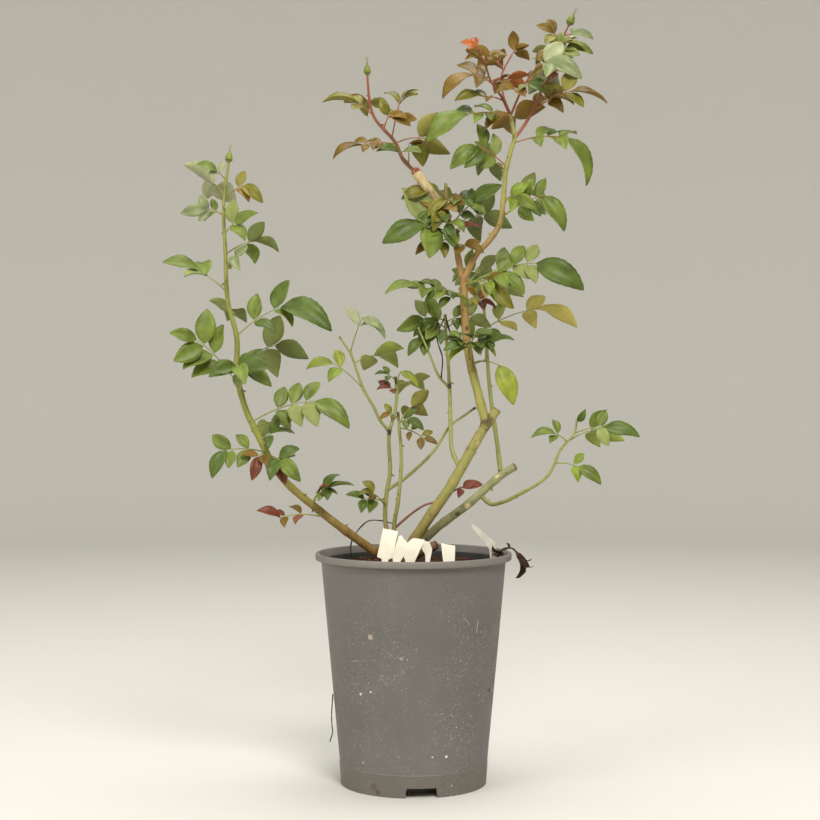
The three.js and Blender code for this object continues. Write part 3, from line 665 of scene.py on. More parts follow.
CREAM_WOOD = (214, 192, 150)
DEAD_WOOD = (72, 48, 32)
FORK_WOOD = (146, 108, 64)
LOW_SCARS = [((63, -17, 329), 3.2, CREAM_WOOD), ((69.5, -10, 351), 9, DEAD_WOOD),
             ((81, -9, 363), 5.5, DEAD_WOOD)]
HIGH_SCARS = [((69.3, -10, 348), 7, DEAD_WOOD), ((49, 2, 487), 5, FORK_WOOD),
              ((52, -4, 440), 3.4, DEAD_WOOD)]
CUT_SCARS = [((82.8, 38, 297), 5.5, CREAM_WOOD), ((54.4, 26, 266), 5.0, CREAM_WOOD),
             ((44, 22, 259), 4.0, DEAD_WOOD), ((104, 50, 305), 6.5, DEAD_WOOD),
             ((73, 35, 290), 3.0, CREAM_WOOD)]
STEM_SCARS = [(place, radius, DEAD_WOOD) for place, radius in (
    ((-24, 16, 339), 4), ((-71.4, -9, 431.8), 3.4), ((-17.9, 18, 393.3), 10), ((-15, -10, 359.4), 11),
    ((35, 12, 384), 3.2), ((30.9, 18, 454), 4), ((61, 21, 363), 5), ((-18, 4, 222), 12),
    ((87, 47, 297), 5))]
BARKS = {
    "old_bark": ((120, 108, 56), (136, 134, 72), (0.22, 0.28), (186, 148, 88), 0.55),
    "main_bark": ((132, 134, 62), (148, 117, 62), (0.38, 0.44), (190, 160, 104), 0.5),
    "cut_bark": ((112, 104, 64), (128, 130, 84), (0.22, 0.27), (178, 166, 122), 0.6),
    "fork_bark": ((150, 116, 64), (140, 142, 74), (0.52, 0.575), (192, 168, 112), 0.5),
    "left_bark": ((118, 92, 46), (124, 132, 56), (0.25, 0.31), (176, 142, 80), 0.5),
    "green_bark": ((134, 120, 68), (140, 146, 82), (0.23, 0.30), (174, 160, 108), 0.5),
    "young_bark": ((126, 86, 56), (134, 72, 50), (0.60, 0.66), (168, 116, 82), 0.42, 0.2),
    "shoot_bark": ((158, 86, 58), (136, 72, 52), (0.62, 0.68), (176, 126, 94), 0.42, 0.2),
    "red_bark": ((104, 66, 48), (132, 84, 62), (0.24, 0.28), (160, 110, 84), 0.5, 0.2),
    "dead_bark": ((92, 66, 46), (74, 54, 38), (0.2, 0.6), (140, 116, 88), 0.85, 0.5),
}
SCARS = {"old_bark": LOW_SCARS, "main_bark": HIGH_SCARS, "cut_bark": CUT_SCARS, "green_bark": STEM_SCARS}
BARK = {name: bark(name, *values, scars=SCARS.get(name, ())) for name, values in BARKS.items()}
print(len(BARK), "bark finishes")

# %% [markdown]
# Now the canes themselves. Each route is one skin from its foot to its tip, through the solid limb and on
# along the stem of the foliage that it carries, so that no joint shows. Only the main cane has two, which
# meet in a knuckle. A table says which routes make a piece, its bark, the solids it stands for, its
# relief and its number of sides.

# %% Make the canes
WOOD = {
    "canes_main": (("main_low",), "old_bark", ("main_cane_lower",), 0.05, 18),
    "canes_main_high": (("main_high",), "main_bark", ("main_cane_upper",), 0.045, 18),
    "cane_cut": (("cut",), "cut_bark", ("cut_cane",), 0.06, 18),
    "spur_old": (("old_spur",), "dead_bark", ("old_spur",), 0.12, 18),
    "cane_left": (("left",), "left_bark", ("left_cane_lower", "left_cane_upper"), 0.045, 16),
    "stems_middle": (("middle_left", "middle_right", "inner", "slanting", "middle_branch", "inner_side"),
                     "green_bark",
                     ("middle_stem_left", "middle_stem_right", "inner_stem", "slanting_branch", "middle_branch",
                      "inner_side_branch"), 0.05, 12),
    "stems_right": (("back", "right_shoot"), "green_bark", ("back_stem", "right_shoot_stem"), 0.05, 12),
    "branch_red": (("red",), "red_bark", ("red_branch",), 0.05, 10),
    "limbs_crown": (("left_crown", "right_crown"), "fork_bark",
                    ("left_crown_limb", "right_crown_limb"), 0.045, 14),
    "shoots_crown": (("upper_left", "crown_left", "crown_back", "crown_front"), "young_bark", (), 0.03, 10),
    "shoot_red": (("crown_right",), "shoot_bark", (), 0.03, 12),
}
# Millimetres from one prickle to the next, and the length of a prickle.
PRICKLES = {"left": (26, 5.0), "main_low": (40, 4.5), "main_high": (34, 5.0), "right_crown": (26, 4.6),
            "left_crown": (30, 4.4), "crown_right": (24, 3.4), "upper_left": (24, 3.6), "inner": (30, 3.4),
            "middle_left": (30, 3.6), "middle_branch": (26, 3.0), "right_shoot": (26, 3.2), "back": (34, 3.4),
            "middle_right": (34, 3.2), "cut": (46, 4.2)}

for number, (name, (routes, bark_name, replaced, roughness, sides)) in enumerate(WOOD.items()):
    bm = bmesh.new()
    for route in routes:
        cane(bm, route, roughness, sides)
        if route in PRICKLES:
            every, length = PRICKLES[route]
            prickles(bm, route, every, length, seed=number * 31 + len(route))
    bmesh.ops.recalc_face_normals(bm, faces=bm.faces)
    piece(name, bm, [BARK[bark_name]], replaced)

# %% [markdown]
# Halfway up, the main cane was pruned and a bud below the cut took over. What is left is a swollen
# knuckle with a dark ring round it and the short dead end beside it. The knuckle is a sphere pushed out
# of shape by noise, and the dead end is one more short tube. `lumpy` does the pushing, and serves the
# other knots of the plant too.

# %% The pruned knuckle
KNUCKLE = Vector((69.6, -10.5, 347.5))
DEAD_END = [(67.5, -11, 343), (74, -10, 352.5), (80.6, -9, 361.5)]


def lumpy(bm, centre, radii, coarse, fine, size=1.0):
    """Turns a unit sphere into a knot. coarse and fine are height and scale of two noises. Millimetres."""
    for vert in bm.verts:
        lump = size + coarse[0] * noise.noise(vert.co * coarse[1]) + fine[0] * noise.noise(vert.co * fine[1])
        away = Vector([value * radius for value, radius in zip(vert.co, radii)])
        vert.co = (centre + away * lump) * MM


def dead_end_radius(share, bearing):
    return (4.9 - 0.5 * share) * (1 + 0.09 * noise.noise(Vector((bearing * 1.5, share * 3, 0.4))))


knuckle_bm = bmesh.new()
bmesh.ops.create_icosphere(knuckle_bm, subdivisions=4, radius=1)
lumpy(knuckle_bm, KNUCKLE, (5.4, 5.4, 4.6), (0.12, 2.0), (0.06, 6))
tube(knuckle_bm, Line(DEAD_END), even(12), 18, dead_end_radius)
bmesh.ops.recalc_face_normals(knuckle_bm, faces=knuckle_bm.faces)
piece("knuckle_pruned", knuckle_bm, [BARK["old_bark"]])

# %% [markdown]
# The dead stub below the left shoot is an old cut. Its bark has torn into pale fibres that stand up round
# the top. We extrude it like the other canes, then set thin tapering slivers round its upper part by a
# loop. A raw red knob sits at its top. At the foot of the plant all the canes come out of one woody knot,
# half of it in the compost. Both are lumpy spheres, and the lower one is cut in half.

# %% The torn stub and the root crown
SLIVERS = 34
SLIVER_SEED = 91
KNOB_CENTRE = Vector((2.6, -3.4, 590.5))
KNOB_RADIUS = 4.4
CROWN_CENTRE = Vector((-14, 2, 211))
CROWN_RADIUS = 18.0


def sliver(bm, foot, heading, length, width):
    made = bmesh.ops.create_cone(bm, cap_ends=True, segments=5, radius1=width, radius2=width * 0.12,
                                 depth=length)["verts"]
    turn = heading.to_track_quat("Z", "Y").to_matrix().to_4x4()
    bmesh.ops.transform(bm, matrix=Matrix.Translation(foot * MM) @ Matrix.Scale(MM, 4) @ turn
                        @ Matrix.Translation((0, 0, length * 0.4)), verts=made)


stub_bm = bmesh.new()
cane(stub_bm, "stub", 0.1, 18)
draw = seeded(SLIVER_SEED)
stub_line = LINES["stub"]
for _ in range(SLIVERS):
    share = mix(0.3, 0.99, draw())
    along = stub_line.heading(share)
    outward = Matrix.Rotation(draw() * math.tau, 3, along) @ along.orthogonal().normalized()
    foot = stub_line.at(share) + outward * radius_at("stub", share) * 0.92
    heading = (along + outward * mix(0.05, 0.5, draw())).normalized()
    length = mix(4, 11, draw())
    width = mix(0.25, 0.7, draw())
    sliver(stub_bm, foot, heading, length, width)
bmesh.ops.recalc_face_normals(stub_bm, faces=stub_bm.faces)
TORN = bark("torn_bark", (120, 96, 60), (196, 176, 132), (0.54, 0.59), (214, 198, 160), 0.9, 0.6)
piece("stub_torn", stub_bm, [TORN], ("crown_stub",), smooth=False)

knob_bm = bmesh.new()
bmesh.ops.create_icosphere(knob_bm, subdivisions=4, radius=1)
lumpy(knob_bm, KNOB_CENTRE, (KNOB_RADIUS, KNOB_RADIUS, KNOB_RADIUS), (0.14, 2.2), (0.06, 6))
KNOB = bark("raw_knob", (126, 56, 30), (140, 72, 40), (0.58, 0.6), (206, 150, 104), 0.6, 0.4)
piece("stub_knob", knob_bm, [KNOB])

crown_bm = bmesh.new()
bmesh.ops.create_icosphere(crown_bm, subdivisions=5, radius=1)
bmesh.ops.bisect_plane(crown_bm, geom=crown_bm.verts[:] + crown_bm.edges[:] + crown_bm.faces[:],
                       plane_co=(0, 0, 0), plane_no=(0, 0, -1), clear_outer=True)
bmesh.ops.holes_fill(crown_bm, edges=[edge for edge in crown_bm.edges if edge.is_boundary])
lumpy(crown_bm, CROWN_CENTRE, (CROWN_RADIUS * 1.05, CROWN_RADIUS, CROWN_RADIUS), (0.1, 2.4), (0.05, 7), 0.93)
bmesh.ops.recalc_face_normals(crown_bm, faces=crown_bm.faces)
piece("root_knuckle", crown_bm, [BARK["dead_bark"]], ("root_crown",))

# %% [markdown]
# ## The leaves
# A rose leaf is a stalk with pairs of toothed leaflets and one more at its end. Hundreds of leaflets show
# here, so we model a few leaflets carefully and set copies of them. A leaflet starts as a flat grid. We
# pull the grid into a pointed oval, push every other edge point out into a tooth, fold it on its midrib,
# quilt it between the side veins, let it arch, and give it thickness. The side that faces down gets the
# second, paler finish.

# %% Leaflet patterns
LEAF_COLUMNS = 4
LEAF_ROWS = 16
LEAF_WIDTH = 0.58
LEAF_THICKNESS = 0.012
TOOTH = 0.010
POINT_HALF = 0.006
QUILT = 0.008
VEINS = 6.5


def leaf_pattern(name, fold, arch, twist, wave, curl=0.0, droop=0.0):
    """One leaflet, one unit long: root at the origin, tip towards +Y, upper side towards +Z."""
    bm = bmesh.new()
    bm.loops.layers.uv.verify()
    bmesh.ops.create_grid(bm, x_segments=LEAF_COLUMNS, y_segments=LEAF_ROWS, size=0.5, calc_uvs=True)
    for vert in bm.verts:
        across = vert.co.x * 2
        along = vert.co.y + 0.5
        row = round(along * LEAF_ROWS)
        half = 0.5 * LEAF_WIDTH * math.sin(math.pi * along ** 0.84) ** 0.78 if 0 < along < 1 else POINT_HALF
        tooth = abs(across) > 0.99 and row % 2 == 1
        x = across * (half + (TOOTH * math.sin(math.pi * along) if tooth else 0))
        y = along + (TOOTH if tooth else 0)
        z = abs(x) * fold
        z += QUILT * math.cos((along * VEINS - abs(across) * 0.9) * math.tau) * (1 - along) * abs(across)
        z += arch * 4 * (along - along ** 2) + droop * along ** 3
        z += wave * math.sin(along * 9 + (2 if across > 0 else 0)) * across ** 2
        z += curl * across ** 2 * (0.3 + along)
        turn = twist * along
        vert.co = (x * math.cos(turn) - z * math.sin(turn), y, x * math.sin(turn) + z * math.cos(turn))
    bmesh.ops.solidify(bm, geom=bm.faces[:], thickness=LEAF_THICKNESS)
    bmesh.ops.recalc_face_normals(bm, faces=bm.faces)
    for face in bm.faces:
        face.material_index = 0 if face.normal.z > 0 else 1
    mesh = bpy.data.meshes.new(name)
    bm.to_mesh(mesh)
    bm.free()
    return mesh


PATTERNS = [
    leaf_pattern("leaflet_flat", 0.24, 0.05, 0.10, 0.012),
    leaf_pattern("leaflet_folded", 0.55, 0.08, -0.15, 0.015),
    leaf_pattern("leaflet_arched", 0.36, 0.15, 0.22, 0.020, droop=-0.06),
    leaf_pattern("leaflet_twisted", 0.34, 0.08, -0.45, 0.024),
    leaf_pattern("leaflet_cupped", 0.20, 0.11, 0.30, 0.018, 0.05),
]
END_PATTERNS = [
    leaf_pattern("end_arched", 0.42, 0.12, 0.15, 0.014),
    leaf_pattern("end_folded", 0.62, 0.10, -0.20, 0.016),
    leaf_pattern("end_twisted", 0.40, 0.09, 0.40, 0.020),
]
WITHERED = [
    leaf_pattern("leaflet_withered", 0.9, 0.2, 1.4, 0.07, 0.16, -0.2),
    leaf_pattern("leaflet_shrunk", 0.7, 0.25, -1.8, 0.09, -0.2, -0.2),
]
print("a leaflet has", len(PATTERNS[0].polygons), "faces")

# %% [markdown]
# The mass data says which stem a mass stands on, the heights between which it grows, and how many far
# leaves it has. A mass off the side of a cane has a short spur of its own, as two points. Then come its
# leaves: the height on the stem, or the share of the spur, how far the stalk and the end leaflet reach,
# how many pairs there are, their length and the tint. The far leaves, which no front view shows well,
# follow a seeded rule.
#
# The solids don't have the second list. Where the crown is thick, the same rule grows these leaves too,
# and they end no more than about 11 mm outside the box of their mass.

# %% Where the leaves grow
MASSES = [
    ("left_foliage_low", "left", 312, 372, 1, [
        (321, (-37, -14, 3), (-13, -6, -26), 2, 20, "green"),
        (318, (12, -12, -3), (20, -8, -20), 1, 22, "dark"),
        (350, (62, -16, 20), (32, -8, -25), 3, 24, "green")]),
    ("left_foliage_middle", "left", 372, 465, 2, [
        (384, (-39, -14, 44), (-25, -6, 6), 3, 29, "green"),
        (400, (4, -34, 2), (10, -26, -16), 2, 26, "dark"),
        (431, (43, -10, 27), (48, -10, -22), 2, 26, "green")]),
    ("left_foliage_top", "left", 465, None, 2, [
        (472, (-25, -4, 19), (-35, -6, 9), 1, 25, "green"),
        (500, (12, -24, 4), (6, -18, -14), 1, 16, "pale"),
        (527, (11, -10, 10), (22, -6, 9), 1, 22, "green"),
        (545, (-15, -4, 6), (-25, -4, -5), 2, 14, "pale"),
        (560, (18, -8, 12), (20, -4, -16), 1, 18, "bronze"),
        (578, (-8, -4, 8), (-20, -2, 7), 1, 12, "pale")]),
    ("left_low_leaf", ((-88, -30.4, 264), (-90, -39, 261)), None, None, 0, [
        (1, (-36, -8, -1), (-22, -6, 7), 2, 15, "red")]),
    ("left_bent_leaf", ((-96, -32.6, 270.6), (-93, -40, 279)), None, None, 0, [
        (1, (11, -6, 8), (26, -6, 4), 1, 18, "dark")]),
    ("middle_low_leaf", ((-27, 11.5, 268), (-31, 5, 273)), None, None, 0, [
        (1, (-18, -8, 1), (-17, -4, 5), 2, 17, "dark")]),
    ("middle_left_foliage", "middle_branch", 374, None, 1, [
        (380, (-30, -8, 26), (-26, -6, -6), 1, 18, "lime"),
        (416, (12, -6, 34), (22, -8, -20), 1, 23, "pale")]),
    ("middle_foliage", "middle_left", 372, None, 1, [
        (386, (4, -8, 12), (17, -6, -15), 0, 16, "lime"), (389, (-8, -6, 6), (-13, -4, 0), 1, 10, "dark"),
        (378, (-6, -10, 4), (-14, -4, -2), 1, 12, "red")]),
    ("middle_right_foliage", "middle_right", 335, None, 1, [
        (344, (24, -8, -10), (13, -2, -6), 2, 11, "olive"),
        (352, (-8, -10, 6), (-10, -5, -6), 1, 10, "olive")]),
    ("red_branch_foliage", "red", 279, None, 1, [
        (285, (2, -3, 0), (20, 2, 3), 1, 12, "red")]),
    ("inner_foliage", "inner", 424, None, 1, [
        (448, (-22, -4, 2), (-26, -9, -12), 2, 22, "green"),
        (430, (-24, -8, 0), (-14, -6, -17), 1, 19, "dark")]),
    ("cane_left_foliage", ((49.6, 2.8, 470), (43, -6, 473)), None, None, 0, [
        (1, (-36, -12, 4), (-35, -6, -5), 3, 20, "green")]),
    ("cane_front_foliage", ((53.2, -1, 416), (54, -14, 420)), None, None, 0, [
        (0.75, (-2, -8, 2), (-18, -8, -14), 0, 18, "bright"),
        (1, (18, -8, 6), (24, -6, 2), 2, 18, "dark"), (0.9, (-10, -8, 8), (-14, -4, 3), 1, 16, "green")]),
    ("yellow_leaf", ((51.6, 0.5, 429), (58, 5, 432)), None, None, 0, [
        (1, (62, 4, 27), (41, 6, -18), 2, 23, "yellow")]),
    ("hanging_leaf", ((55.5, -2.2, 405), (64, -9, 408)), None, None, 0, [
        (1, (18, -6, -4), (14, -4, -38), 0, 16, "lime")]),
    ("cane_right_foliage", ((49.6, 2.6, 460), (58, -2, 463)), None, None, 0, [
        (0.9, (8, -5, 4), (14, -4, -8), 1, 13, "red"), (0.8, (3, -8, 9), (-10, -6, 8), 1, 12, "bronze")]),
    ("fork_foliage", ((49, 4, 482), (57, -7, 484)), None, None, 1, [
        (0.95, (62, -9, 18), (45, -6, -26), 3, 23, "green"),
        (0.85, (18, -14, -2), (22, -8, -24), 1, 18, "olive")]),
    ("left_crown_foliage", "left_crown", 517, None, 2, [
        (539, (23, -12, 23), (26, -6, 16), 2, 16, "dark"),
        (530, (-28, -20, 8), (-41, -6, -17), 1, 40, "green"),
        (526, (-18, -14, -4), (-20, -4, -12), 1, 18, "olive"),
        (572, (0, -18, -8), (-18, -8, -18), 1, 17, "bronze"),
        (534, (8, -12, 2), (21, -4, 0), 1, 14, "red"),
        (521, (9, -14, -2), (18, -4, -7), 1, 15, "bronze")]),
    ("right_crown_foliage", "right_crown", 540, 607, 2, [
        (546, (40, -10, 20), (20, -4, -34), 3, 20, "green"),
        (594, (-27, -12, 18), (-28, -6, -22), 2, 24, "green")]),
    ("crown_foliage", "right_crown", 607, None, 2, [
        (617, (50, -10, 4), (20, -2, -46), 3, 20, "green"),
        (636, (-6, -12, 8), (-21, -6, -18), 0, 20, "bronze"),
        (642, (-42, -18, 0), (-40, -8, -27), 2, 21, "green")]),
    ("upper_left_foliage", "upper_left", None, None, 2, [
        (642, (-15, -6, 11), (-34, -4, 1), 1, 18, "olive"),
        (622, (9, -6, 38), (17, -3, 7), 2, 21, "olive"),
        (616, (-32, -8, -2), (-29, -6, -14), 3, 14, "bronze"),
        (603, (-3, -12, 5), (-19, -8, 2), 1, 20, "dark"),
        (596, (0, -6, 20), (19, -5, -1), 1, 17, "bronze")]),
    ("crown_left_foliage", "crown_left", None, None, 1, [
        (703, (-4, -2, 4), (-15, -2, 3), 1, 12, "orange"),
        (695, (-4, -5, 2), (-14, -2, -4), 1, 9, "bronze"),
        (692, (5, -5, 5), (16, -4, 0), 1, 13, "bronze"),
        (673, (-18, -8, 7), (-30, -6, -24), 2, 24, "bronze"), (671, (6, -8, 4), (10, -4, 4), 1, 9, "red"),
        (657, (-20, -14, 2), (-28, -6, -5), 1, 14, "olive")]),
    ("crown_back_foliage", "crown_back", None, None, 2, [
        (703, (5, 2, 8), (14, 2, 5), 1, 17, "bronze"),
        (690, (-6, -2, 10), (-10, 4, 6), 1, 13, "bronze")]),
    ("crown_front_foliage", "crown_front", None, None, 1, [
        (687, (6, -6, 3), (34, -6, -16), 1, 24, "pale"), (668, (6, -12, 2), (14, -6, -10), 1, 14, "dark"),
        (664, (-6, -10, 2), (-20, -6, -6), 1, 17, "bronze")]),
    ("crown_right_foliage", "crown_right", None, None, 2, [
        (649, (37, -10, 18), (34, -4, -12), 2, 23, "olive"),
        (697, (9, -6, 12), (28, -2, -4), 1, 19, "green"),
        (702, (-4, -6, 8), (-16, -4, -16), 1, 14, "bronze"),
        (720, (-8, -2, 6), (-17, 0, 8), 1, 16, "bronze"), (724, (8, -2, 1), (21, 2, -4), 1, 11, "pale"),
        (684, (6, -8, 4), (20, -4, -8), 1, 13, "red")]),
    ("right_shoot_foliage", "right_shoot", 303, None, 1, [
        (309, (22, -6, -3), (22, -4, -17), 1, 16, "bright"),
        (338, (29, -4, 6), (34, -2, -9), 1, 18, "green"), (345, (1, -6, 5), (7, -6, 12), 0, 12, "green"),
        (330, (-12, -6, 8), (-24, -4, -4), 1, 13, "green")]),
    ("back_foliage", "back", 470, None, 2, [
        (480, (-14, 16, 20), (-16, 14, -10), 2, 20, "green")]),
]

EXTRA = {
    "left_foliage_low": [
        (330, (10, -12, 10), (22, -6, 0), 1, 18, "dark"),
        (322, (-6, -14, -4), (-6, -6, -22), 1, 16, "red"),
        (316, (10, -10, -2), (6, -4, -22), 1, 15, "red")],
    "left_foliage_middle": [
        (392, (10, -14, 8), (24, -8, -16), 1, 24, "green")],
    "left_bent_leaf": [
        (0.95, (8, -6, 6), (14, -4, -2), 1, 15, "dark"), (0.8, (4, -8, 6), (10, -6, 8), 0, 15, "red")],
    "middle_low_leaf": [
        (0.95, (-10, -6, 8), (-14, -4, -4), 1, 15, "olive")],
    "middle_right_foliage": [
        (348, (8, -8, 4), (16, -4, -10), 1, 12, "dark")],
    "inner_foliage": [
        (440, (-10, -6, 6), (-22, -2, -14), 1, 20, "green"),
        (438, (-6, -6, 0), (-16, -2, -16), 1, 19, "dark"),
        (446, (10, -6, 4), (12, -2, -12), 1, 15, "green")],
    "cane_left_foliage": [
        (0.9, (-12, -12, 0), (-22, -6, -10), 1, 20, "dark"),
        (0.95, (-8, -10, -4), (-12, -6, -12), 1, 20, "green")],
    "cane_front_foliage": [
        (0.95, (-4, -12, 4), (-22, -6, -6), 1, 20, "dark"),
        (1, (8, -12, 4), (16, -6, -12), 1, 18, "green"), (1, (4, -12, 12), (14, -4, 4), 1, 18, "dark")],
    "fork_foliage": [
        (0.9, (30, -12, 8), (20, -6, -20), 1, 22, "green"),
        (0.9, (22, -14, 0), (4, -6, -26), 1, 20, "bright")],
    "left_crown_foliage": [
        (548, (-12, -16, 4), (-24, -6, -20), 1, 22, "dark"),
        (556, (-6, -20, 2), (-8, -8, -26), 1, 20, "olive"),
        (540, (-4, -22, 0), (8, -6, -24), 1, 20, "dark"),
        (566, (-14, -14, 6), (-30, -6, -8), 1, 19, "olive"),
        (532, (-10, -18, -2), (-20, -4, -12), 1, 20, "green"),
        (560, (14, -14, 6), (16, -4, -16), 1, 16, "dark")],
    "right_crown_foliage": [
        (560, (10, -14, 4), (22, -6, -12), 1, 20, "bright")],
    "crown_right_foliage": [
        (655, (10, -12, 6), (26, -6, -8), 1, 19, "bronze"),
        (690, (-6, -10, 4), (-14, -6, -14), 1, 16, "olive"),
        (712, (6, -8, 4), (20, -4, -10), 1, 15, "olive")],
    "upper_left_foliage": [
        (630, (6, -8, 14), (20, -4, -12), 1, 18, "bronze")],
}
print(len(MASSES), "masses,", sum(len(mass[5]) for mass in MASSES), "leaves by name,",
      sum(len(leaves) for leaves in EXTRA.values()), "more")

# %% [markdown]
# A leaflet of a pair that would cut into a cane is left off. A k-d tree of points along all the canes
# answers that question quickly: it gives the nearest point of any cane, and we compare the distance with
# the cane's radius there.

# %% A quick test for canes in the way
CANE_STEP = 3.0
CLEARANCE = 1.2
TESTED_SHARES = (0.35, 0.65, 1.0)
cane_points = []
for name, line in LINES.items():
    for index in range(int(line.length / CANE_STEP) + 1):
        share = index * CANE_STEP / line.length
        cane_points.append((line.at(share), radius_at(name, share)))
cane_tree = kdtree.KDTree(len(cane_points))
for index, (spot, _) in enumerate(cane_points):
    cane_tree.insert(spot, index)
cane_tree.balance()


def meets_cane(root, heading, length):
    for share in TESTED_SHARES:
        _, index, away = cane_tree.find(root + heading * length * share)
        if away < cane_points[index][1] + CLEARANCE:
            return True
    return False


print(len(cane_points), "points on the canes")

# %% [markdown]
# `grow_leaf` follows the source's rule: the stalk arches from the stem, the end leaflet follows its own
# direction, and the pairs stand at a seeded angle to the stalk, larger towards its end. Each leaflet is a
# copy of a pattern, turned so that its upper side faces up and outwards by a seeded lean. A few take a
# neighbouring tint.
#
# `far_leaves` puts leaves behind their stem. Each moves on by about two fifths of the back arc from the
# last.

# %% Grow the leaves
SKIPPED = {("red_branch_foliage", 1), ("crown_foliage", 3), ("crown_back_foliage", 2)}
NEIGHBOUR = {"green": "dark", "dark": "green", "bright": "green", "lime": "bright", "pale": "green",
             "olive": "bronze", "bronze": "olive", "red": "bronze", "orange": "bronze", "yellow": "lime"}
PAIR_SIZE = 1.16
PAIR_WIDTH = 1.0
END_WIDTH = 0.82
OWN_TINT = 0.85
LEAN = 0.7
LEAFLET_FOOT = 1.6
STALK_SIDES = 6
STALK_STEP = 5
STALK_RISE = 0.14
STALK_RADII = (0.75, 0.45)
TWIG_RADII = (0.42, 0.36)
SPUR_RADII = (1.5, 1.0)
MASS_SEEDS = 100
FAR_SEED = 99
CHANCE_SEEDS = 5000
leaf_meshes = {tint: bmesh.new() for tint in NEIGHBOUR}
for bm in leaf_meshes.values():
    bm.loops.layers.uv.verify()
homes = {tint: set() for tint in NEIGHBOUR}
grown = {tint: 0 for tint in NEIGHBOUR}
stalk_bm = bmesh.new()
left_off = []


def set_leaflet(bm, pattern, root, heading, up, length, width):
    """Adds a copy of a pattern with its root at root and its tip along heading."""
    along = heading.normalized()
    normal = (up - along * up.dot(along)).normalized()
    side = along.cross(normal)
    turn = Matrix((side * width, along, normal)).transposed().to_4x4()
    add_copy(bm, pattern, Matrix.Translation(root * MM) @ Matrix.Scale(length * MM, 4) @ turn)


def stalk_tube(points, radii):
    line = Line(points)
    steps = max(4, round(line.length / STALK_STEP))
    tube(stalk_bm, line, even(steps), STALK_SIDES, lambda share, bearing: mix(*radii, share))


def arched(root, stalk):
    """Points on a stalk that rises and levels out: a quadratic curve from its root to its end."""
    end = root + stalk
    top = root.lerp(end, 0.5) + Vector((0, 0, stalk.length * STALK_RISE))
    return [root.lerp(top, share).lerp(top.lerp(end, share), share) for share in even(8)]


def grow_leaf(mass_name, root, stalk, blade, pairs, size, tint, draw, chance):
    points = arched(root, stalk)
    stalk_tube(points, STALK_RADII)
    outward = Vector((0, -1 if stalk.y + blade.y <= 0 else 1, 0))
    tilt = mix(0.35, 1.25, draw())
    up = Vector((0, 0, math.cos(tilt))) + outward * math.sin(tilt)
    line = Line(points)

    def put(where, heading, length, patterns, width):
        shade = tint if chance() < OWN_TINT else NEIGHBOUR[tint]
        pattern = patterns[int(chance() * len(patterns)) % len(patterns)]
        lean = up + Vector((chance() - 0.5, chance() - 0.5, chance() - 0.5)) * LEAN
        set_leaflet(leaf_meshes[shade], pattern, where, heading, lean, length, width)
        grown[shade] += 1
        homes[shade].add(mass_name)

    put(line.at(0.985), blade, blade.length, END_PATTERNS, END_WIDTH)
    for pair in range(pairs):
        share = mix(0.42, 0.84, pair / (pairs - 1)) if pairs > 1 else mix(0.7, 0.84, 0.5)
        where = line.at(share)
        along = line.heading(share, 0.02)
        side = along.cross(up).normalized()
        for hand in (1, -1):
            spread = mix(0.85, 1.25, draw())
            heading = along * math.cos(spread) + side * hand * math.sin(spread)
            heading.z -= 0.22 * draw()
            heading.normalize()
            length = size * PAIR_SIZE * mix(0.82, 1.08, draw()) * mix(0.84, 1, share)
            foot = where + heading * LEAFLET_FOOT
            if meets_cane(foot, heading, length):
                left_off.append(mass_name)
                continue
            stalk_tube([where, where + heading * 0.9, foot + heading * 0.4], TWIG_RADII)
            put(foot, heading, length, PATTERNS, PAIR_WIDTH)


def far_leaves(count, draw):
    """Leaves on the far side, by the seeded rule."""
    for index in range(count):
        bearing = mix(0.15, 0.85, (index * 0.4 + draw() * 0.3) % 1) * math.pi
        reach = mix(27, 42, draw())
        heading = Vector((math.cos(bearing), math.sin(bearing), mix(0.1, 0.5, draw())))
        blade = Vector((heading.x, heading.y, -0.35)) * reach * 0.85
        yield mix(0.12, 0.95, (index + 0.5) / count), heading * reach, blade, 1, reach * 0.7


def on_stem(leaves, line, spur):
    """Leaves from the tables, with the height on a stem turned into a share of its length."""
    return [(at if spur else line.share_at_height(at), Vector(stalk), Vector(blade), *rest)
            for at, stalk, blade, *rest in leaves]


for number, (name, stem, low, high, far, leaves) in enumerate(MASSES):
    spur = not isinstance(stem, str)
    line = Line(stem) if spur else LINES[stem]
    start = 0 if low is None else line.share_at_height(low)
    end = 1 if high is None else line.share_at_height(high)
    if spur:
        stalk_tube(stem, SPUR_RADII)
    tints = [leaf[-1] for leaf in leaves]
    entries = on_stem(leaves, line, spur)
    for index, (share, *rest) in enumerate(far_leaves(far, seeded(number * MASS_SEEDS + FAR_SEED))):
        entries.append((mix(start, end, share), *rest, tints[index % len(tints)]))
    entries += on_stem(EXTRA.get(name, []), line, spur)
    for index, (share, *rest) in enumerate(entries):
        if (name, index) not in SKIPPED:
            seed = number * MASS_SEEDS + index + 1
            grow_leaf(name, line.at(share), *rest, seeded(seed), seeded(seed + CHANCE_SEEDS))

print("leaflets:", grown, "left off:", len(left_off))

# %% [markdown]
# Leaf colour has a place: the young crown is bronze and red, the lower leaves are deep green, and a few
# old ones are yellow. So each tint is one piece with a plain colour of its own, and the finish only
# shades it softly. The table gives the upper side and the paler underside, which is also the more matt of
# the two.

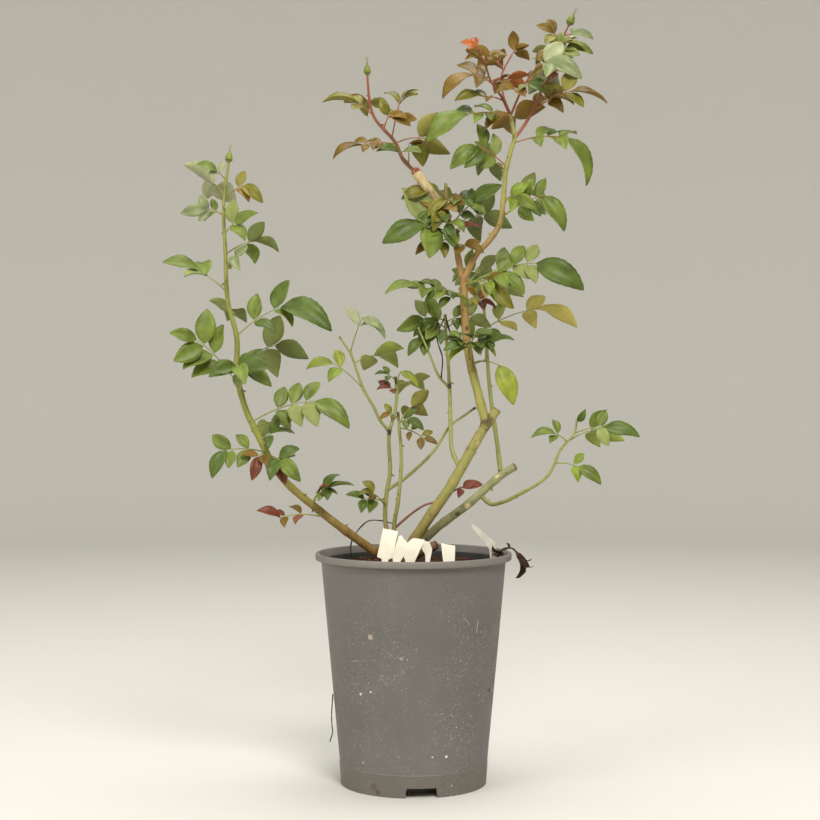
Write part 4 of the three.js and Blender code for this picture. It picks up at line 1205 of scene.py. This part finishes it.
# %% Leaf finishes
LEAF_TINTS = {
    "green": ((99, 113, 42), (124, 133, 74)),
    "dark": ((76, 93, 34), (102, 112, 60)),
    "bright": ((112, 130, 38), (132, 144, 66)),
    "lime": ((124, 134, 46), (138, 146, 74)),
    "pale": ((122, 131, 88), (146, 150, 112)),
    "olive": ((106, 102, 30), (124, 118, 52)),
    "bronze": ((106, 83, 22), (116, 90, 34)),
    "red": ((108, 58, 40), (124, 76, 58)),
    "orange": ((150, 76, 24), (148, 84, 34)),
    "yellow": ((172, 154, 54), (174, 162, 84)),
}
UPPER_ROUGHNESS = 0.42
UNDER_ROUGHNESS = 0.7
UNDER_CHANGE = 0.15


def leaf_finish(name, colour, roughness, change=0.28):
    """A leaf colour that changes by a share up and down in soft patches, with a finer dark mottle."""
    finish = Finish(name, roughness, Specular_IOR_Level=0.24)
    base = srgb(*colour)
    patch = finish.noise(60, 3)
    mottle = finish.noise(420, 3)
    deep = rgba(tuple(v * (1 - change) for v in base))
    light = rgba(tuple(min(v * (1 + change), 1) for v in base))
    tone = finish.mixed(finish.ramp(patch, [(0.35, 0.0), (0.65, 1.0)]), deep, light)
    speckled = rgba(tuple(v * 0.55 for v in base))
    tone = finish.mixed(finish.ramp(mottle, [(0.5, 0.0), (0.75, 0.22)]), tone, speckled)
    finish.set("Base Color", tone)
    finish.bump(mottle, 0.0003, 0.5)
    return finish


for tint, (upper, under) in LEAF_TINTS.items():
    faces = [leaf_finish(f"leaf_{tint}", upper, UPPER_ROUGHNESS),
             leaf_finish(f"leaf_{tint}_under", under, UNDER_ROUGHNESS, UNDER_CHANGE)]
    piece(f"leaves_{tint}", leaf_meshes[tint], faces, sorted(homes[tint]))

bmesh.ops.recalc_face_normals(stalk_bm, faces=stalk_bm.faces)
STALK = bark("leaf_stalks", (132, 138, 66), (158, 84, 52), (0.5, 0.66), (160, 150, 90), 0.45, 0.1, 0.0001)
piece("leaf_stalks", stalk_bm, [STALK], sorted(mass[0] for mass in MASSES))

# %% [markdown]
# ## Buds
# Three shoots end in a closed bud: a green egg, wrapped in five sepals that draw out into long thin tips.
# The egg is a sphere, stretched. A sepal is the leaflet idea again, a narrow grid bent round the egg.

# %% Buds with sepals
BUDS = [("left", 7.6, 11.5, 5.5), ("upper_left", 7.4, 11.0, 6.5), ("crown_right", 8.6, 12.0, 6.5)]
SEPALS = 5
SEPAL_THICKNESS = 0.3
bud_bm = bmesh.new()


def egg_radius(width, rise):
    """Half the width of the egg, slimmer towards its top, before the sphere's own curve."""
    return 0.47 * width * (1.06 - 0.62 * rise ** 1.6)


def make_bud(bm, line, width, height, tip_length):
    tip = line.at(1)
    turn = line.heading(1).to_track_quat("Z", "Y").to_matrix().to_4x4()
    place = Matrix.Translation(tip * MM) @ turn @ Matrix.Scale(MM, 4)
    egg = bmesh.ops.create_uvsphere(bm, u_segments=24, v_segments=18, radius=1)["verts"]
    for vert in egg:
        rise = (vert.co.z + 1) / 2
        waist = 1 - 0.16 * math.exp(-((rise - 0.2) / 0.06) ** 2)
        slim = egg_radius(width, rise) * waist
        vert.co = (vert.co.x * slim, vert.co.y * slim, rise * height - 1)
    bmesh.ops.transform(bm, matrix=place, verts=egg)
    sepal_bm = bmesh.new()
    bmesh.ops.create_grid(sepal_bm, x_segments=4, y_segments=14, size=0.5)
    whole = height * 0.8 + tip_length
    for vert in sepal_bm.verts:
        along = vert.co.y + 0.5
        rise = min(0.22 + along * whole / height, 1.0)
        body = egg_radius(width, rise) * math.sin(math.acos(min(abs(rise * 2 - 1), 1)))
        past = max(along * whole - height * 0.78, 0) / tip_length
        narrowing = math.cos(math.pi / 2 * min(along * whole / (height * 0.95), 1))
        wide = 0.36 * width * narrowing + 0.35 * (1 - along) + 0.12
        bearing = vert.co.x * 2 * wide / max(body, 1.6)
        out = max(body, 0.35) + 0.25 + 1.1 * past ** 2
        vert.co = (math.cos(bearing) * out, math.sin(bearing) * out, 0.22 * height - 1 + along * whole)
    bmesh.ops.solidify(sepal_bm, geom=sepal_bm.faces[:], thickness=SEPAL_THICKNESS)
    sepal = bpy.data.meshes.new("sepal")
    sepal_bm.to_mesh(sepal)
    sepal_bm.free()
    for number in range(SEPALS):
        add_copy(bm, sepal, place @ Matrix.Rotation(math.tau * number / SEPALS, 4, "Z"))
    bpy.data.meshes.remove(sepal)


for route, width, height, tip_length in BUDS:
    make_bud(bud_bm, LINES[route], width, height, tip_length)
bmesh.ops.recalc_face_normals(bud_bm, faces=bud_bm.faces)
BUD = leaf_finish("bud_green", (112, 122, 52), 0.5)
piece("buds", bud_bm, [BUD])

# %% [markdown]
# ## The pot
# A nursery pot is one thin skin of plastic. Its section is drawn once, from the middle of the underside
# out to the foot ring, up the wall, over the rolled lip and back down inside, and spun round the axis.
# Radius and height are in millimetres.

# %% Spin the pot
POT_STEPS = 144
POT_SECTION = [
    (0, 0), (48.5, 0), (50, 0.8), (51, 8), (68.1, 8), (68.6, 7.4), (68.6, 0.3), (69, 0), (70.1, 0),
    (70.5, 0.4),
    (71.9, 20.6), (72.0, 21.1), (71.7, 21.6), (71.6, 22.2), (80.7, 120), (89.4, 215.6), (89.6, 216.4),
    (94.2, 216.5), (94.8, 217.0), (95.0, 218.2), (95.0, 221.6), (94.6, 222.6), (93.8, 223), (92.2, 223),
    (91.2, 222.5), (88.4, 216), (87.6, 213), (79, 120), (70.4, 11), (69.8, 10.5), (0, 10.5)]
pot_bm = lathe([metres(point) for point in POT_SECTION], POT_STEPS, 1e-6)
print("pot section:", len(POT_SECTION), "points")

# %% [markdown]
# The plastic is a plain grey with a dull shine. Dust and dried splashes lie on it: pale specks, thickest
# at the right, thin scratches, a foot that dirt has made browner, a pale line above it, and a paler lip.
# Scratches and marks have places of their own on the front of the wall, given by how far right and how
# high they are, in millimetres. One dark mark is a small hole that is not modelled: it is painted dark for
# the compost behind it and for painted shade, and the white mark beside it is a painted highlight.

# %% Pot finish
SCRATCHES = [
    ((-40.4, 151.9), (-11.7, 131.8), 0.3, 0.55),
    ((-30.2, 142.3), (-14, 130.4), 0.22, 0.4),
    ((-26.5, 125.6), (1.2, 124.5), 0.25, 0.35),
    ((-8, 134.2), (52.5, 130.4), 0.22, 0.25),
    ((60.6, 164.8), (59.2, 153.6), 0.5, 0.8),
    ((47.6, 169.1), (52.4, 162), 0.4, 0.5),
    ((-58.6, 126), (-50.9, 128.1), 0.5, 0.4),
]
MARKS = [
    ((-40.3, 151.2), 3.0, (172, 160, 142), 0.8),
    ((-11.2, 132.3), 1.8, (168, 156, 138), 0.7),
    # A small hole in the wall, not modelled: a dark spot for the compost seen through it, with painted shade.
    ((72.2, 94.8), 2.4, (16, 14, 12), 1.0),
    # A painted highlight on the edge of that hole.
    ((74.9, 93.2), 1.0, (224, 220, 212), 0.9),
    ((75.6, 121.5), 1.0, (30, 26, 22), 0.9),
    ((17.5, 38.9), 1.0, (210, 204, 192), 0.9),
    ((30.5, 38.4), 1.7, (216, 210, 198), 0.9),
    ((-49.6, 96), 1.6, (216, 212, 202), 0.9),
    ((-40.1, 99.1), 1.4, (206, 200, 188), 0.8),
    ((-47.4, 30.2), 1.2, (196, 190, 178), 0.7),
    ((-37, 9), 4.4, (88, 68, 44), 0.6),
    ((-33.2, 3.8), 3.2, (70, 52, 34), 0.6),
    ((35.3, 10.2), 1.5, (176, 170, 156), 0.7),
]
WALL_LOW, WALL_HIGH = (71.6, 21.6), (89.5, 216.5)
SCRATCH_WANDER = 0.0006
SPECKS = ((520, 0.19), (260, 0.13), (900, 0.2))


def on_wall(x, z):
    """The place on the front of the wall at x and z, in metres from millimetres."""
    radius = mix(WALL_LOW[0], WALL_HIGH[0], (z - WALL_LOW[1]) / (WALL_HIGH[1] - WALL_LOW[1]))
    return metres((x, -math.sqrt(max(radius ** 2 - x ** 2, 0)), z))


def line_mask(finish, start, end, width):
    """1 on a thin scratch between two points on the wall, 0 elsewhere. Metres."""
    spot = finish.where()
    wander = finish.node("ShaderNodeTexNoise", inputs={"Vector": spot, "Scale": 60.0}, output="Color")
    shake = finish.node("ShaderNodeVectorMath", {"operation": "SCALE"},
                        {0: wander, "Scale": SCRATCH_WANDER})
    first, last = Vector(start), Vector(end)
    along = (last - first).normalized()
    from_first = finish.vector("SUBTRACT", finish.vector("ADD", spot, shake), first)
    run = finish.vector("DOT_PRODUCT", from_first, along, "Value")
    across = finish.vector("CROSS_PRODUCT", from_first, along)
    aside = finish.node("ShaderNodeVectorMath", {"operation": "LENGTH"}, {0: across}, "Value")
    return (aside < width) * (run > 0) * (run < (last - first).length)


def pot_finish():
    finish = Finish("pot_plastic", 0.5, Specular_IOR_Level=0.4)
    x = finish.axis("X")
    z = finish.axis("Z")
    cloud = finish.noise(9, 5)
    colour = finish.mixed(finish.ramp(cloud, [(0.3, 0.0), (0.75, 0.8)]),
                          rgba(srgb(92, 89, 86)), rgba(srgb(109, 105, 101)))

    foot = finish.ramp(z + (finish.noise(40, 4) - 0.5) * 0.012, [(0.0196, 1.0), (0.0215, 0.0)])
    dirt = finish.ramp(finish.noise(34, 5, 0.7), [(0.42, 0.0), (0.66, 1.0)])
    seam = finish.ramp(z, [(0.0202, 0.0), (0.0209, 0.6), (0.0220, 0.6), (0.0226, 0.0)])
    lip = finish.ramp(z, [(0.2155, 0.0), (0.2165, 1.0)])
    colour = finish.mixed(foot * (0.3 + dirt * 0.4), colour, rgba(srgb(106, 99, 86)))
    colour = finish.mixed(seam, colour, rgba(srgb(138, 132, 122)))
    colour = finish.mixed(lip * 0.5, colour, rgba(srgb(126, 120, 111)))

    dusty = finish.ramp(x + (finish.noise(16, 3) - 0.5) * 0.09, [(0.012, 0.0), (0.040, 1.0)])
    flank = finish.ramp(x + (finish.noise(18, 3) - 0.5) * 0.05, [(-0.060, 1.0), (-0.038, 0.0)])
    tall = finish.ramp(z, [(0.03, 0.6), (0.09, 1.0), (0.16, 1.0), (0.20, 0.25)])
    where = (dusty + flank * 0.7) * tall * finish.ramp(finish.noise(34, 3), [(0.32, 0.1), (0.62, 1.0)])
    film = finish.ramp(finish.noise(130, 5, 0.7), [(0.42, 0.0), (0.7, 1.0)])
    colour = finish.mixed(where * film * 0.22, colour, rgba(srgb(146, 142, 133)))
    for scale, limit in SPECKS:
        grid = {"Vector": finish.place((1, 1, 0.55)), "Scale": scale}
        dot = finish.node("ShaderNodeTexVoronoi", inputs=grid)
        tone = finish.node("ShaderNodeTexVoronoi", inputs=grid, output="Color")
        rare = finish.node("ShaderNodeSeparateXYZ", inputs={0: tone}, output="X") < 0.55
        speck = finish.ramp(dot * (1 / limit), [(0.55, 1.0), (1.0, 0.0)]) * rare * where
        colour = finish.mixed(speck * 0.85, colour, rgba(srgb(214, 210, 200)))

    for start, end, width, strength in SCRATCHES:
        mask = line_mask(finish, on_wall(*start), on_wall(*end), width * MM)
        colour = finish.mixed(mask * strength, colour, rgba(srgb(178, 168, 150)))
    for place, radius, shade, strength in MARKS:
        mask = finish.spot(on_wall(*place), radius * MM)
        colour = finish.mixed(mask * strength, colour, rgba(srgb(*shade)))
    hair = finish.ramp(finish.noise(60, 3, 0.6, (0.6, 0.6, 26)), [(0.64, 0.0), (0.70, 1.0)])
    colour = finish.mixed(hair * 0.16, colour, rgba(srgb(158, 150, 138)))
    finish.set("Base Color", colour)
    finish.set("Roughness", 0.44 + where * 0.3 + (cloud - 0.5) * 0.2)
    finish.bump(finish.noise(190, 4) + film * where * 0.6, 0.0003, 0.3)
    return finish


inside = Finish("pot_inside", 0.6, Specular_IOR_Level=0.35)
inside.set("Base Color", inside.ramp(inside.noise(40, 4),
                                     [(0.3, srgb(40, 39, 36)), (0.75, srgb(66, 63, 57))]))
print(len(SCRATCHES), "scratches and", len(MARKS), "marks")

# %% [markdown]
# Three notches in the foot and six drain holes in the floor let water out. Their blocks and rods go into
# one mesh that a Boolean takes away from the pot. It is applied at once, so that only plain mesh stays.
# Before that, the inner side of the wall gets its darker finish: those are the faces that look towards
# the axis.

# %% Cut the notches and drain holes
NOTCH_COUNT = 3
NOTCH_BEARING = -84
NOTCH_RING = 67
NOTCH_DEPTH = 14
NOTCH_TOP = 28.0
NOTCH_BOTTOM = 31.5
NOTCH_HEIGHT = 9.4
BELOW_GROUND = -4
DRAIN_COUNT = 6
DRAIN_RADIUS = 5.0
DRAIN_RING = 59.0
DRAIN_LOW = 5.0
DRAIN_HIGH = 15.0
WALL_FOOT = 12 * MM
LIP_FOOT = 216 * MM
SHARP_ANGLE = math.radians(28)

cutter_bm = bmesh.new()
for index in range(NOTCH_COUNT):
    block = bmesh.ops.create_cube(cutter_bm, size=1)["verts"]
    turn = Matrix.Rotation(math.radians(NOTCH_BEARING + 360 / NOTCH_COUNT * index), 4, "Z")
    for vert in block:
        wide = NOTCH_BOTTOM if vert.co.z < 0 else NOTCH_TOP
        height = BELOW_GROUND if vert.co.z < 0 else NOTCH_HEIGHT
        vert.co = turn @ Vector((NOTCH_RING + vert.co.x * NOTCH_DEPTH, vert.co.y * wide, height)) * MM
for index in range(DRAIN_COUNT):
    bearing = (index + 0.25) / DRAIN_COUNT * math.tau
    height = (DRAIN_LOW + DRAIN_HIGH) / 2
    middle = Vector((math.cos(bearing) * DRAIN_RING, math.sin(bearing) * DRAIN_RING, height))
    bmesh.ops.create_cone(cutter_bm, cap_ends=True, segments=24, radius1=DRAIN_RADIUS * MM,
                          radius2=DRAIN_RADIUS * MM, depth=(DRAIN_HIGH - DRAIN_LOW) * MM,
                          matrix=Matrix.Translation(middle * MM))
cutter = to_object("notch_cutter", cutter_bm, [])

for face in pot_bm.faces:
    centre = face.calc_center_median()
    if WALL_FOOT < centre.z < LIP_FOOT and face.normal.xy.dot(centre.xy) < 0:
        face.material_index = 1
pot = piece("pot_moulded", pot_bm, [pot_finish(), inside], ("pot",))
cut = pot.modifiers.new("notches", "BOOLEAN")
cut.object = cutter
cut.solver = "EXACT"
cut_mesh = bpy.data.meshes.new_from_object(pot.evaluated_get(bpy.context.evaluated_depsgraph_get()))
pot.modifiers.clear()
pot.data = cut_mesh
bpy.data.objects.remove(cutter)
pot.data.set_sharp_from_angle(angle=SHARP_ANGLE)
print("pot after the cuts:", len(pot.data.polygons), "faces")

# %% [markdown]
# ## Compost and bark chips
# The top of the compost is a disc, pushed up and down by noise, with a low skirt that hides its edge. On
# it lie a few hundred crumbs and chips of bark. Each chip is a small cube with only a few faces, because
# there are many, squashed and turned by the seeded generator. None lies under the root knuckle.

# %% Compost
SOIL_TOP = 210.2
SOIL_RADIUS = 87.0
SOIL_FACES = 24000
SKIRT_DEPTH = 12
CHIPS = 520
CHIP_SEED = 404
CHIP_LENGTHS = (1.6, 7.5)

soil_bm = bmesh.new()
bmesh.ops.create_circle(soil_bm, cap_ends=True, cap_tris=True, segments=96, radius=SOIL_RADIUS)
while len(soil_bm.faces) <= SOIL_FACES:
    bmesh.ops.subdivide_edges(soil_bm, edges=soil_bm.edges[:], cuts=1, use_grid_fill=True)
rim_edges = [edge for edge in soil_bm.edges if edge.is_boundary]
skirt = bmesh.ops.extrude_edge_only(soil_bm, edges=rim_edges)["geom"]
low_ring = {item for item in skirt if isinstance(item, bmesh.types.BMVert)}
for vert in soil_bm.verts:
    rough = noise.noise(vert.co * 0.11) * 0.8 + noise.noise(vert.co * 0.5) * 0.7
    rise = -SKIRT_DEPTH if vert in low_ring else min(rough - 0.6, 0.6)
    vert.co = Vector((vert.co.x, vert.co.y, rise + SOIL_TOP)) * MM
bmesh.ops.holes_fill(soil_bm, edges=[edge for edge in soil_bm.edges if edge.is_boundary])
bmesh.ops.recalc_face_normals(soil_bm, faces=soil_bm.faces)


def compost(name, dark, light, scale):
    finish = Finish(name, 0.95, Specular_IOR_Level=0.2)
    grain = finish.noise(scale, 6, 0.7)
    finish.set("Base Color", finish.ramp(grain, [(0.3, dark), (0.7, light)]))
    finish.bump(grain, 0.0015, 0.8)
    return finish


COMPOST = compost("compost", srgb(34, 24, 18), srgb(84, 64, 46), 380)
piece("compost_top", soil_bm, [COMPOST], ("soil",))

chip_bm = bmesh.new()
draw = seeded(CHIP_SEED)
for _ in range(CHIPS):
    bearing = draw() * math.tau
    out = SOIL_RADIUS * 0.97 * math.sqrt(draw())
    size = mix(*CHIP_LENGTHS, draw() ** 2.4)
    out = min(out, SOIL_RADIUS - size)
    spot = Vector((math.cos(bearing) * out, math.sin(bearing) * out, SOIL_TOP + size * 0.05))
    if (spot.xy - CROWN_CENTRE.xy).length < CROWN_RADIUS:
        continue
    chip = bmesh.ops.create_cube(chip_bm, size=1)["verts"]
    turn = Matrix.Rotation(draw() * math.tau, 4, "Z") @ Matrix.Rotation((draw() - 0.5) * 0.9, 4, "X")
    shape = Matrix.Diagonal((size, size * mix(0.35, 0.8, draw()), size * mix(0.15, 0.4, draw()), 1))
    for vert in chip:
        vert.co *= mix(0.7, 1.15, draw())
    whole = Matrix.Scale(MM, 4) @ Matrix.Translation(spot) @ turn @ shape
    bmesh.ops.transform(chip_bm, matrix=whole, verts=chip)
bmesh.ops.recalc_face_normals(chip_bm, faces=chip_bm.faces)
CHIP = compost("bark_chips", srgb(44, 28, 20), srgb(104, 68, 44), 90)
piece("bark_chips", chip_bm, [CHIP], smooth=False)

# %% [markdown]
# ## Labels
# Cream plastic labels stand in the compost, some torn to a ragged edge. They carry no print. Each is a
# flat outline that is extruded to its thickness, with a fine bevel on its edges. The table gives where
# its far side stands from front to back, and then its corners as seen from the front, in millimetres. The
# bent label is the same cream plastic, but its finish is greyer: painted shade for the shadow on it.

# %% Blank labels
LABELS = {
    "label_left": (-30, [
        (-29, 248.7), (-14.8, 245.9), (-19.8, 220.5), (-24, 218.8), (-25, 211.3), (-30, 211.3),
        (-30.6, 219.8), (-34.8, 221.2)]),
    "label_ragged": (-36, [
        (-14.2, 241.5), (-11.3, 242.6), (-9.5, 239.4), (-5.6, 235.6), (-3, 238.2), (0.1, 240),
        (10.6, 238.4), (4.5, 225), (-1.7, 211.3), (-6.6, 211.3), (-8, 219), (-9.4, 222.6), (-12, 218.5),
        (-14.8, 211.3), (-18.5, 211.3), (-20.2, 221.7), (-17.6, 231)]),
    "label_small": (-30, [
        (8, 237.5), (15.3, 235.5), (17.8, 228.8), (16.5, 222), (14.5, 211.3), (11.5, 211.3), (11, 224),
        (7, 230.2)]),
    "label_right": (-31, [
        (26.1, 234.5), (39.6, 232.2), (39.2, 216), (37, 211.3), (30, 211.3), (28, 218)]),
    "label_bent": (-5, [
        (55.7, 250.1), (57.8, 250.6), (79.9, 232.2), (80.4, 211.3), (74.6, 211.3), (73.2, 226.5),
        (56.4, 246.6)]),
}
LABEL_THICKNESS = 0.8
LABEL_BEVEL = 0.15
cream = Finish("label_plastic", 0.38, Specular_IOR_Level=0.5)
stain = cream.noise(70, 4)
cream.set("Base Color", cream.mixed(cream.ramp(stain, [(0.5, 0.0), (0.8, 0.35)]),
                                    rgba(srgb(250, 245, 226)), rgba(srgb(206, 190, 150))))
cream.bump(stain, 0.0002, 0.3)
# Painted shade: the bent label's greyer finish stands in for the shadow on a cream label.
grey = Finish("label_grey_painted_shade", 0.4, Specular_IOR_Level=0.5)
grey.set("Base Color", grey.ramp(grey.noise(60, 4),
                                 [(0.3, srgb(178, 174, 160)), (0.7, srgb(206, 202, 188))]))
for name, (back, corners) in LABELS.items():
    label_bm = bmesh.new()
    face = label_bm.faces.new([label_bm.verts.new(metres((x, back, z))) for x, z in corners])
    solid = bmesh.ops.extrude_face_region(label_bm, geom=[face])["geom"]
    moved = [item for item in solid if isinstance(item, bmesh.types.BMVert)]
    bmesh.ops.translate(label_bm, verts=moved, vec=(0, -LABEL_THICKNESS * MM, 0))
    bmesh.ops.recalc_face_normals(label_bm, faces=label_bm.faces)
    bmesh.ops.bevel(label_bm, geom=label_bm.edges[:], offset=LABEL_BEVEL * MM, affect="EDGES", segments=1,
                    profile=0.5, material=-1)
    # The bent label takes the painted shade finish.
    finish = grey if name == "label_bent" else cream
    piece(f"blank_{name}", label_bm, [finish], (name,), smooth=False)

# %% [markdown]
# ## Withered leaves
# An old leaf has dried black-brown across the rim. It uses the two curled leaflet patterns on a bent
# stalk, and a second stalk that hangs outside. A pattern has two finishes, so the dry one is given for
# both sides. The table gives, for each leaflet, its share of the stalk, its direction, its length and its
# pattern.

# %% Withered leaves over the rim
RIM_STALK = [(80, -2, 213.5), (86, -3, 226), (97, -4, 226.5), (101, -5, 217)]
HANGING_STALK = [(96, -4, 226.5), (103, -4, 221), (108, -4, 214)]
DRY_LEAFLETS = [(0.93, (1, -1, -20), 21, 0), (0.85, (13, -2, -9), 15, 1), (0.3, (-7, -6, 5), 12, 0),
                (0.45, (4, -8, 4), 11, 1), (0.2, (3, -7, -3), 11, 0), (0.1, (-4, -6, 6), 10, 1)]
DRY_WIDTH = 0.66
DRY_UP = Vector((0.3, -1, 0.2))
DRY = leaf_finish("leaf_dry", (66, 44, 32), 0.8, 0.35)
dry_bm = bmesh.new()
dry_bm.loops.layers.uv.verify()
rim_line = Line(RIM_STALK)
for share, heading, length, kind in DRY_LEAFLETS:
    set_leaflet(dry_bm, WITHERED[kind], rim_line.at(share), Vector(heading), DRY_UP, length, DRY_WIDTH)
tube(dry_bm, rim_line, even(20), 7, lambda share, bearing: mix(1.1, 0.6, share))
hanging_line = Line(HANGING_STALK)
tube(dry_bm, hanging_line, even(12), 7, lambda share, bearing: mix(0.8, 0.5, share))
set_leaflet(dry_bm, WITHERED[1], hanging_line.at(0.96), Vector((6, -1, -7)), DRY_UP, 9, 0.8)
bmesh.ops.recalc_face_normals(dry_bm, faces=dry_bm.faces)
piece("withered_leaves", dry_bm, [DRY, DRY], ("dried_leaves",))

# %% [markdown]
# A few dead threads hang about: two black stalks at the top of the inner stem, one that arches low beside
# the middle stems, and one thin dark strand just outside the wall. Each is a thin dark tube with a
# radius that wanders.

# %% Dead threads
THREADS = [
    ([(30.9, 18, 452), (23, 10, 433), (24, 8, 425), (28, 6, 412), (27, 6, 392)], 0.7),
    ([(30.9, 18, 453), (37, 12, 430), (38, 12, 422)], 0.9),
    ([(-20, 8, 250), (-30.2, 10, 252.6), (-43.6, 10, 252.6), (-52.1, 10, 245.8), (-60.4, 9, 232.2),
      (-61, 8, 218)], 0.6),
    ([(-77.6, -15, 88), (-78.6, -18, 69.5), (-78.3, -19, 58), (-77.6, -19, 52.3),
      (-80.4, -20, 42.7)], 0.55),
]
THREAD_STEP = 2.5
THREAD = Finish("dead_thread", 0.9)
THREAD.set("Base Color", rgba(srgb(38, 28, 24)))
thread_bm = bmesh.new()
for number, (way, thick) in enumerate(THREADS):
    line = Line(way)
    tube(thread_bm, line, even(round(line.length / THREAD_STEP)), 6,
         lambda share, bearing: thick * (1 + 0.5 * noise.noise(Vector((share * 9, number, 0.2)))))
bmesh.ops.recalc_face_normals(thread_bm, faces=thread_bm.faces)
piece("dead_threads", thread_bm, [THREAD])

# %% [markdown]
# ## The size
# The dressed plant is meant to stay within a few millimetres of the box of the solids. Its own box is
# measured here and printed, beside the box of the solids that was printed at the start.

# %% Measure the size
visual_box = [list(corner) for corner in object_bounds()]
print("visual box:", [[round(v, 3) for v in corner] for corner in visual_box])
